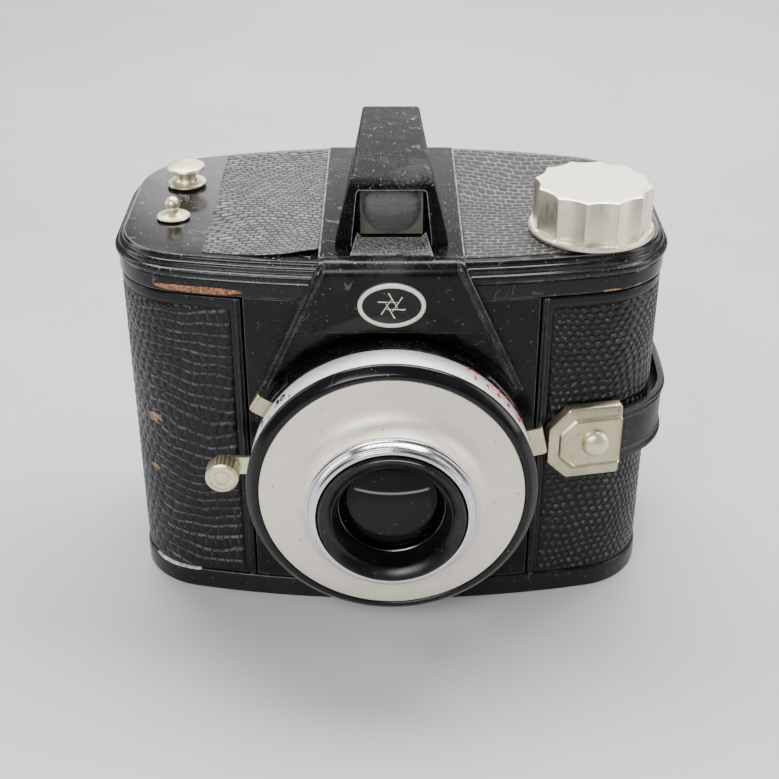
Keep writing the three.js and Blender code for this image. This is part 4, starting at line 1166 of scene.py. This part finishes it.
BARREL_PROFILE = [
    (29.3, -34.5), (BARREL_R, -34.5), (BARREL_R, SCALE_BACK + 1.2), (BARREL_R - 0.25, SCALE_BACK + 0.9),
    (BARREL_R - 0.25, SCALE_BACK + 0.1), (31, SCALE_BACK + 0.1), (31, SCALE_FRONT - 0.2),
    (30.1, SCALE_FRONT - 0.2), (30.1, FACE + 1.1), (17.2, FACE + 1.1), (17.2, FACE + 2.3), (29.3, FACE + 2.3),
]
SCALE_PROFILE = [(31.3, SCALE_BACK), (32.95, SCALE_BACK), (33.35, SCALE_FRONT), (31.3, SCALE_FRONT)]
BEZEL_PROFILE = [
    (30.5, -52.8), (33.1, -52.5), (33.45, -52.8), (33.4, -53.5), (31.8, FACE - 0.1), (31.0, FACE - 0.2),
    (30.5, FACE + 0.1),
]
FACE_PROFILE = [
    (17.2, FACE + 0.8), (17.2, FACE - 5.8), (19.6, FACE - 5.8), (19.9, FACE - 4.2), (20.5, FACE - 2.7),
    (21.4, FACE - 1.6), (22.6, FACE - 0.9), (24.2, FACE - 0.45), (27.0, FACE - 0.12), (FACE_R + 0.2, FACE),
    (FACE_R + 0.2, FACE + 0.8),
]
LENS_RING_PROFILE = [
    (16.8, FACE - 6.0), (19.55, FACE - 6.0), (19.75, FACE - 6.3), (19.75, FACE - 6.9), (19.35, FACE - 7.25),
    (19.1, FACE - 7.2), (19.0, FACE - 7.6), (18.6, RING_FRONT + 0.55), (18.2, RING_FRONT + 0.5),
    (17.9, RING_FRONT + 0.1), (17.1, RING_FRONT), (16.8, RING_FRONT + 0.3),
]
LIP_PROFILE = [(11.8, -58.9), (12.35, -58.9), (12.35, -59.5), (12.1, -59.6), (11.8, -59.3)]
LEVER_SLOTS = {"release": (172.4, 195.6), "speed": (136.7, 163.3), "focus": (5, 48.2)}

barrel = turned("barrel", BARREL_PROFILE, 0.15, "black_plastic", GLOSS_LOOK, "lens_barrel")
body_tool = ring_solid("body_tool", [(-20, 1.0), (-0.1, 1.0), (-0.1, 90.0), (-20, 90.0)])
slot_tools = [ring_sector(f"slot_{key}", 27, 36, a0, a1, LEVER_FRONT - 0.25, LEVER_BACK + 0.25)
              for key, (a0, a1) in LEVER_SLOTS.items()]
cut_with(barrel, body_tool, *slot_tools)

turned("scale_band", SCALE_PROFILE, 0.15, "satin_silver", BAND_LOOK, "scale_ring")
turned("bezel", BEZEL_PROFILE, 0.35, "black_plastic", RING_LOOK, "bezel_ring")
turned("face", FACE_PROFILE, 0.5, "satin_silver", SILVER_LOOK, "face_plate")
turned("lens_ring", LENS_RING_PROFILE, 0.12, "chrome", CHROME_LOOK, "chrome_ring")


def tube_profile():
    """Outer wall threaded near its front, a sloping front face, a ribbed cone and the seat for the lens."""
    points = [(13.3, -51.9), (16.6, -51.9), (16.6, RING_FRONT + 0.3)]
    for i in range(3):
        y = RING_FRONT + 0.1 - i * 0.3
        points += [(16.6 - 0.08 * i, y), (16.3 - 0.08 * i, y - 0.12), (16.55 - 0.08 * i, y - 0.24)]
    points += [(16.3, TUBE_FRONT + 0.1), (16.1, TUBE_FRONT), (15.8, TUBE_FRONT + 0.05)]
    points.append((13.8, TUBE_FRONT + 1.4))
    for i in range(5):
        r, y = 13.7 - 0.26 * i, TUBE_FRONT + 1.6 + 0.45 * i
        points += [(r, y), (r - 0.3, y - 0.1), (r - 0.3, y + 0.2)]
    points += [(12.4, -61.0), (12.4, -58.6), (13.3, -58.6)]
    return points


place(lathe("lens_tube_wall", tube_profile(), LENS_AT, segments=160), "inner_unit", "black_metal", TUBE_LOOK,
      "lens_tube")
lens_shape = [(0.0, -60.2)]
lens_shape += [(12.9 * math.sin(a), -60.2 + 2.0 * (1 - math.cos(a)) * 1.4)
               for a in [math.radians(90 * i / 14) for i in range(1, 15)]]
lens_shape += [(12.9, -55.9), (11, -56.0), (6, -56.7), (0.0, -57.1)]
place(lathe("lens_element", lens_shape, LENS_AT, segments=96), "inner_unit", "glass", LENS_LOOK, "front_lens")
turned("lens_lip", LIP_PROFILE, 0.1, "black_metal", LIP_LOOK, segments=160)


# ---------------------------------------------------------------- scale marks on the ring
INK = painted("ink_black", (0.01, 0.01, 0.01), 0.5, 0.1)
RED_INK = painted("ink_red", (0.5, 0.03, 0.02), 0.5, 0.1)
SCALE_MIDDLE = (SCALE_BACK + SCALE_FRONT) / 2
SCALE_R = 33.17  # radius of the band where the marks sit


def on_band(angle, y):
    """Matrix for a mark drawn in x (round the band) and z (towards the front), facing outwards."""
    a = math.radians(angle)
    out = Vector((math.cos(a), 0, math.sin(a)))
    along = Vector((math.sin(a), 0, -math.cos(a)))
    forward = Vector((0, -1, 0))
    at = LENS_AT + out * SCALE_R + Vector((0, y, 0))
    rows = [(along[i], -out[i], -forward[i], at[i]) for i in range(3)]
    return Matrix((*rows, (0, 0, 0, 1)))


def band_tick(name, angle, y, width, height, ink):
    across, up = width / 2, height / 2
    shape = [(-across, -up), (across, -up), (across, up), (-across, up)]
    mark = extrude_outline(name, shape, on_band(angle, y), 0.2)
    place(mark, "inner_unit", "satin_silver", ink)


def band_number(name, text, angle, y, ink, size=3.6):
    """A plain numeral engraved and filled, built from a text curve."""
    curve = bpy.data.curves.new(name, "FONT")
    curve.body = text
    curve.size = size
    curve.align_x = "CENTER"
    curve.align_y = "CENTER"
    curve.extrude = 0.12
    curve.resolution_u = 3
    obj = bpy.data.objects.new(name, curve)
    bpy.context.scene.collection.objects.link(obj)
    mesh = bpy.data.meshes.new_from_object(obj.evaluated_get(bpy.context.evaluated_depsgraph_get()))
    bpy.data.objects.remove(obj)
    upright = Matrix.Rotation(math.radians(90), 4, "X")
    mesh.transform(Matrix.Scale(MM, 4) @ on_band(angle, y) @ upright)
    numeral = bpy.data.objects.new(name, mesh)
    bpy.context.scene.collection.objects.link(numeral)
    place(numeral, "inner_unit", "satin_silver", ink)


band_number("speed_number_30", "30", 139, SCALE_MIDDLE, INK)
band_number("speed_number_1", "1", 152, SCALE_MIDDLE, INK)
for k, angle in enumerate((133, 145.5, 158)):
    band_tick(f"speed_tick_{k}", angle, SCALE_FRONT + 1.0, 0.35, 1.2, INK)
for number, angle in (("3", 56), ("4", 50), ("6", 44), ("8", 38), ("10", 31)):
    band_number(f"focus_number_{number}", number, angle, SCALE_MIDDLE, RED_INK, 2.3)
for k in range(9):
    long_mark = k % 4 == 0
    band_tick(f"focus_tick_{k}", 27 + 4 * k, SCALE_BACK - 0.9, 0.3, 1.3 if long_mark else 0.7, RED_INK)


# ---------------------------------------------------------------- winding knob, stud and flash contact
KNOB_BOTTOM = low("wind_knob").z
KNOB_TOP = high("wind_knob").z
KNOB_FLANGE_R = half_size("wind_knob").x
KNOB_R = 13.7
KNOB_FLUTES = 12
KNOB_TURN = math.radians(17)  # direction of the first ridge


def knob_wobble(r, h, a):
    """Shallow concave flutes with sharp ridges between them, on the body of the knob only."""
    if h < KNOB_BOTTOM + 1.35 or r < KNOB_R - 2.6:
        return r
    phase = ((a - KNOB_TURN) * KNOB_FLUTES / (2 * math.pi)) % 1.0
    hollow = 1 - (2 * phase - 1) ** 2
    return r - 1.2 * hollow * min(1.0, (r - KNOB_R + 2.6) / 1.6)


def knob_profile():
    """Flange, then the body up to a flat top."""
    top, rim = KNOB_TOP, KNOB_BOTTOM + 1.3
    flange = KNOB_FLANGE_R
    return [
        (0, KNOB_BOTTOM), (flange - 0.3, KNOB_BOTTOM), (flange, KNOB_BOTTOM + 0.3), (flange, rim - 0.45),
        (flange - 0.45, rim), (KNOB_R + 0.3, rim + 0.05), (KNOB_R + 0.05, rim + 0.25),
        (KNOB_R, top - 0.35), (KNOB_R - 0.1, top - 0.12), (KNOB_R - 0.35, top), (KNOB_R - 2.6, top), (0, top)]


knob = lathe("knob", knob_profile(), KNOB, "Z", segments=288, wobble=knob_wobble)
place(knob, "winder", "cream_metal", KNOB_LOOK, "wind_knob")

STUD = middle("accessory_stud")
PIN = middle("contact_pin")


def stud_profile():
    bottom, top = low("accessory_stud").z, high("accessory_stud").z
    foot = COVER_TOP + 0.3
    return [(0, bottom), (1.7, bottom), (1.7, foot), (4.5, foot), (4.85, foot + 0.35), (4.75, foot + 0.75),
            (4.3, foot + 1.0), (2.8, foot + 1.1), (2.45, foot + 1.6), (2.5, top - 2.0), (3.2, top - 1.55),
            (4.5, top - 1.35), (4.8, top - 0.95), (4.6, top - 0.5), (3.4, top - 0.15), (1.8, top), (0, top)]


def pin_profile():
    bottom, top = low("contact_pin").z, high("contact_pin").z
    foot = COVER_TOP + 0.3
    ball = top - 1.8
    points = [(0, bottom), (1.2, bottom), (1.2, foot), (3.7, foot), (3.95, foot + 0.25), (3.7, foot + 0.5),
              (2.2, foot + 0.72), (1.3, foot + 1.2), (1.2, ball - 1.3)]
    points += [(1.8 * math.cos(a), ball + 1.8 * math.sin(a)) for a in
               [math.radians(-42 + 132 * i / 10) for i in range(10)]]
    return points + [(0, top)]


place(lathe("stud", stud_profile(), STUD, "Z", 96), "inner_unit", "cream_metal", CREAM_LOOK, "accessory_stud")
place(lathe("flash_pin", pin_profile(), PIN, "Z", 72), "inner_unit", "cream_metal", CREAM_LOOK, "contact_pin")


# ---------------------------------------------------------------- levers and release button
def bent_plate(name, path, width, thickness, at):
    """A strip of sheet metal bent along a path of (x, y) points; its width runs along z."""
    rings = []
    smooth_path = rounded(path, 0.9, 4, is_open=True)
    half = width / 2
    for i, p in enumerate(smooth_path):
        before = Vector(smooth_path[max(0, i - 1)])
        after = Vector(smooth_path[min(len(smooth_path) - 1, i + 1)])
        run = (after - before).normalized()
        side = Vector((-run.y, run.x)) * thickness / 2
        a, b = Vector(p) + side, Vector(p) - side
        rings.append([(a.x, a.y, -half), (a.x, a.y, half), (b.x, b.y, half), (b.x, b.y, -half)])
    bm = bmesh.new()
    capped(bm, rings)
    edges = [e for e in bm.edges if len(e.link_faces) == 2 and e.calc_face_angle(0) > 1.0]
    bmesh.ops.bevel(bm, geom=edges, offset=0.12, segments=2, profile=0.6, affect="EDGES")
    bmesh.ops.transform(bm, matrix=at, verts=bm.verts)
    return finish_mesh(name, bm)


def round_the_lens(angle):
    """Matrix that turns a fitting drawn along +X out from the lens axis to an angle from +X towards +Z."""
    return Matrix.Translation(LENS_AT) @ Matrix.Rotation(math.radians(-angle), 4, "Y")


PLATE_Y = (LEVER_BACK + LEVER_FRONT) / 2
TAB_BACK = max(high("speed_lever").y, high("focus_lever").y)
SPEED_ANGLE = 150
FOCUS_ANGLE = 12.6
RELEASE_ANGLE = 178
TAB_REACH = 36.05  # middle of the folded end, from the lens axis


def lever_tab(name, angle, width, body, node):
    """A tab that comes out of its slot and folds back over the scale ring."""
    path = [(24.5, PLATE_Y), (TAB_REACH, PLATE_Y), (TAB_REACH, TAB_BACK)]
    tab = bent_plate(name, path, width, 0.75, round_the_lens(angle))
    return place(tab, body, "cream_metal", PLATE_LOOK, node)


lever_tab("speed_tab", SPEED_ANGLE, 4.4, "speed", "speed_lever")
lever_tab("focus_tab", FOCUS_ANGLE, 7.0, "focus", "focus_lever")

release_arm = bent_plate("release_arm", [(24.5, PLATE_Y), (40.6, PLATE_Y)], 4.6, 0.9,
                         round_the_lens(RELEASE_ANGLE))
place(release_arm, "release", "cream_metal", CREAM_LOOK, "release_lever")

BUTTON = middle("release_button")
BUTTON_R = half_size("release_button").x
BUTTON_FRONT = low("release_button").y
BUTTON_BACK = high("release_button").y


def knurl(r, h, a):
    """Fine axial ribs on the side of the button."""
    if r < BUTTON_R - 0.35 or h < BUTTON_FRONT + 0.75 or h > BUTTON_BACK - 0.3:
        return r
    return r - 0.28 * abs(math.sin(a * 13))


def button_profile():
    r, front, back = BUTTON_R, BUTTON_FRONT, BUTTON_BACK
    return [
        (0, back), (2.3, back), (2.5, back - 0.35), (r - 0.1, back - 0.35), (r, back - 0.6), (r, front + 0.8),
        (r - 0.1, front + 0.45), (r - 0.55, front + 0.08), (r - 0.8, front), (r - 1.0, front + 0.05),
        (r - 1.15, front + 0.3), (r - 1.9, front + 0.32), (r - 2.05, front + 0.1), (r - 2.3, front + 0.1),
        (r - 2.45, front + 0.35), (0.6, front + 0.35), (0, front + 0.35)]


button = lathe("button", button_profile(), BUTTON, "Y", 208, wobble=knurl)
place(button, "release", "cream_metal", CREAM_LOOK, "release_button")


# ---------------------------------------------------------------- hand strap and its end plates
STRAP_Z = middle("hand_strap").z
STRAP_HALF = half_size("hand_strap").z
STRAP_FRONT_X = 43.0
STRAP_BACK_X = 37.5
PLATE_FRONT_X = 45.5
PLATE_BACK_X = 40.0


def strap_path():
    """Plan points from the front plate round the side to the back plate, standing clear of the wall."""
    base = half_outline(0, 0, steps=(64, 22, 22, 48), side_steps=16)
    kept = [(x, y) for x, y in base if not (y < 0 and x < STRAP_FRONT_X) and not (y > 0 and x < STRAP_BACK_X)]
    points = []
    for i, (x, y) in enumerate(kept):
        a = Vector(kept[max(0, i - 1)])
        b = Vector(kept[min(len(kept) - 1, i + 1)])
        run = (b - a).normalized()
        out = Vector((run.y, -run.x))
        stand = 0.6 + 2.0 * max(0.0, 1 - ((y + 3) / 26) ** 2)
        points.append((Vector((x, y)) + out * stand, out))
    return points


def strap():
    """A moulded band: flat middle, a glossy half-round rib along each edge and a groove beside it."""
    half = STRAP_HALF
    section = [(0.0, -half + 0.5), (0.0, half - 0.5), (0.25, half - 0.12), (0.8, half), (1.5, half - 0.1),
               (1.95, half - 0.55), (1.95, half - 1.05), (1.55, half - 1.5), (1.3, half - 1.75),
               (1.3, half - 2.1), (1.62, half - 2.3), (1.62, half - 2.6), (1.38, half - 2.85)]
    lower = [(d, -z) for d, z in reversed(section[2:])]
    rings = []
    for point, out in strap_path():
        ring = []
        for depth, z in section + lower:
            p = point + out * (depth - 0.1)
            ring.append((p.x, p.y, STRAP_Z + z))
        rings.append(ring)
    return loft("strap", rings)


place(strap(), "shell", "strap_black", STRAP_LOOK, "hand_strap")


def clipped(half_x, half_z, clip, end):
    """An oblong with its two corners on the -x side cut off at 45 degrees."""
    return [(end, -half_z), (end, half_z), (-half_x + clip, half_z), (-half_x, half_z - clip),
            (-half_x, -half_z + clip), (-half_x + clip, -half_z)]


def stepped_plate(name, x, at_back):
    """A stamped plate in two steps with sloped edges; the strap end under it is drawn with the strap."""
    flip = Matrix.Scale(-1, 4, (1, 0, 0)) if at_back else Matrix.Identity(4)
    at = on_wall(x, at_back) @ Matrix.Translation((0, 0, STRAP_Z)) @ flip
    levels = [
        (9.2, 9.5, 5.0, -0.25), (9.2, 9.5, 5.0, -2.4), (9.0, 9.3, 4.9, -2.75), (8.7, 9.0, 4.8, -2.9),
        (6.9, 7.2, 3.9, -2.95), (6.5, 6.8, 3.7, -3.1), (6.25, 6.5, 3.6, -3.55), (5.95, 6.2, 3.5, -3.7),
        (5.7, 5.95, 3.4, -3.55), (5.5, 5.8, 3.3, -3.3),
    ]
    rings = []
    for half_x, half_z, clip, y in levels:
        shape = rounded(clipped(half_x, half_z, clip, end=8.9), 0.6, 3)
        rings.append([tuple(at @ Vector((px, y, pz))) for px, pz in shape])
    return loft(name, rings)


def dome_rivet(name, x, at_back):
    """A domed head on a short shank, drawn along the wall's outward direction."""
    shift = -2.5 if at_back else 2.5
    at = on_wall(x, at_back) @ Matrix.Translation((shift, 0, STRAP_Z))
    profile = [(0, 3.7), (1.5, 3.7), (1.5, -2.2), (1.5, -3.2), (3.45, -3.2), (3.5, -3.5)]
    profile += [(3.45 * math.cos(a), -3.6 - 2.1 * math.sin(a)) for a in
                [math.radians(90 * i / 10) for i in range(1, 10)]] + [(0, -5.7)]
    obj = lathe(name, profile, Vector((0, 0, 0)), "Y", 72)
    metres = Matrix.Scale(MM, 4) @ at @ Matrix.Scale(1 / MM, 4)
    obj.data.transform(metres)
    return obj


for side, x, at_back in (("front", PLATE_FRONT_X, False), ("back", PLATE_BACK_X, True)):
    place(stepped_plate(f"strap_end_{side}", x, at_back), "shell", "cream_metal", PLATE_LOOK,
          f"strap_plate_{side}")
    place(dome_rivet(f"strap_dome_{side}", x, at_back), "shell", "cream_metal", CREAM_LOOK,
          f"strap_rivet_{side}")


# ---------------------------------------------------------------- floor, light and camera
def floor():
    """A wide pale sheet that curves up behind the object."""
    bm = bmesh.new()
    bend = [math.radians(9 * i) for i in range(1, 11)]
    profile = [(-1500, -0.05), (600, -0.05)]
    profile += [(600 + 500 * math.sin(a), 499.95 - 500 * math.cos(a)) for a in bend]
    profile.append((1100, 1800))
    rings = [[(x, y, z) for y, z in profile] for x in (-2000, 2000)]
    bridge(bm, rings, closed=False)
    obj = finish_mesh("floor", bm)
    look = Look("floor_grey", (0.5, 0.5, 0.51), 0.5)
    cloud = look.noise(7, 5, 0.6)
    grey = look.mix(look.ramp(cloud, 0.3, 0.7), (0.46, 0.46, 0.475, 1), (0.54, 0.54, 0.55, 1))
    look.set("Base Color", grey)
    look.set("Normal", look.bump(look.noise(600, 3), 0.05, 0.0002))
    obj.data.materials.append(look.material)


def area_light(name, location, aim, width, height, power):
    light = bpy.data.lights.new(name, "AREA")
    light.shape = "RECTANGLE"
    light.size, light.size_y = width, height
    light.energy = power
    obj = bpy.data.objects.new(name, light)
    obj.location = location
    obj.rotation_euler = (Vector(aim) - Vector(location)).to_track_quat("-Z", "Y").to_euler()
    bpy.context.scene.collection.objects.link(obj)


def studio():
    world = bpy.data.worlds.new("studio_air")
    world.use_nodes = True
    world.node_tree.nodes["Background"].inputs["Color"].default_value = (0.75, 0.78, 0.82, 1)
    world.node_tree.nodes["Background"].inputs["Strength"].default_value = 0.1
    bpy.context.scene.world = world
    centre = (0, 0, 0.05)
    area_light("over_light", (0.05, 0.28, 0.75), centre, 0.9, 0.35, 16)
    area_light("front_light", (-0.25, -0.75, 0.62), centre, 0.5, 0.35, 8)
    area_light("right_light", (0.75, -0.1, 0.35), centre, 0.3, 0.6, 3)
    area_light("back_light", (0.1, 0.95, 0.35), centre, 0.7, 0.3, 3)
    area_light("left_light", (-0.75, 0.1, 0.35), centre, 0.3, 0.6, 3)


def camera():
    """The eye level and lens of a picture taken from just above, in front."""
    data = bpy.data.cameras.new("camera")
    data.lens = 64.69
    data.sensor_width = 36
    obj = bpy.data.objects.new("camera", data)
    obj.location = (-0.00084, -0.31843, 0.22463)
    obj.rotation_euler = (math.radians(59.784), math.radians(0.03), math.radians(-0.088))
    bpy.context.scene.collection.objects.link(obj)
    bpy.context.scene.camera = obj


floor()
studio()
camera()
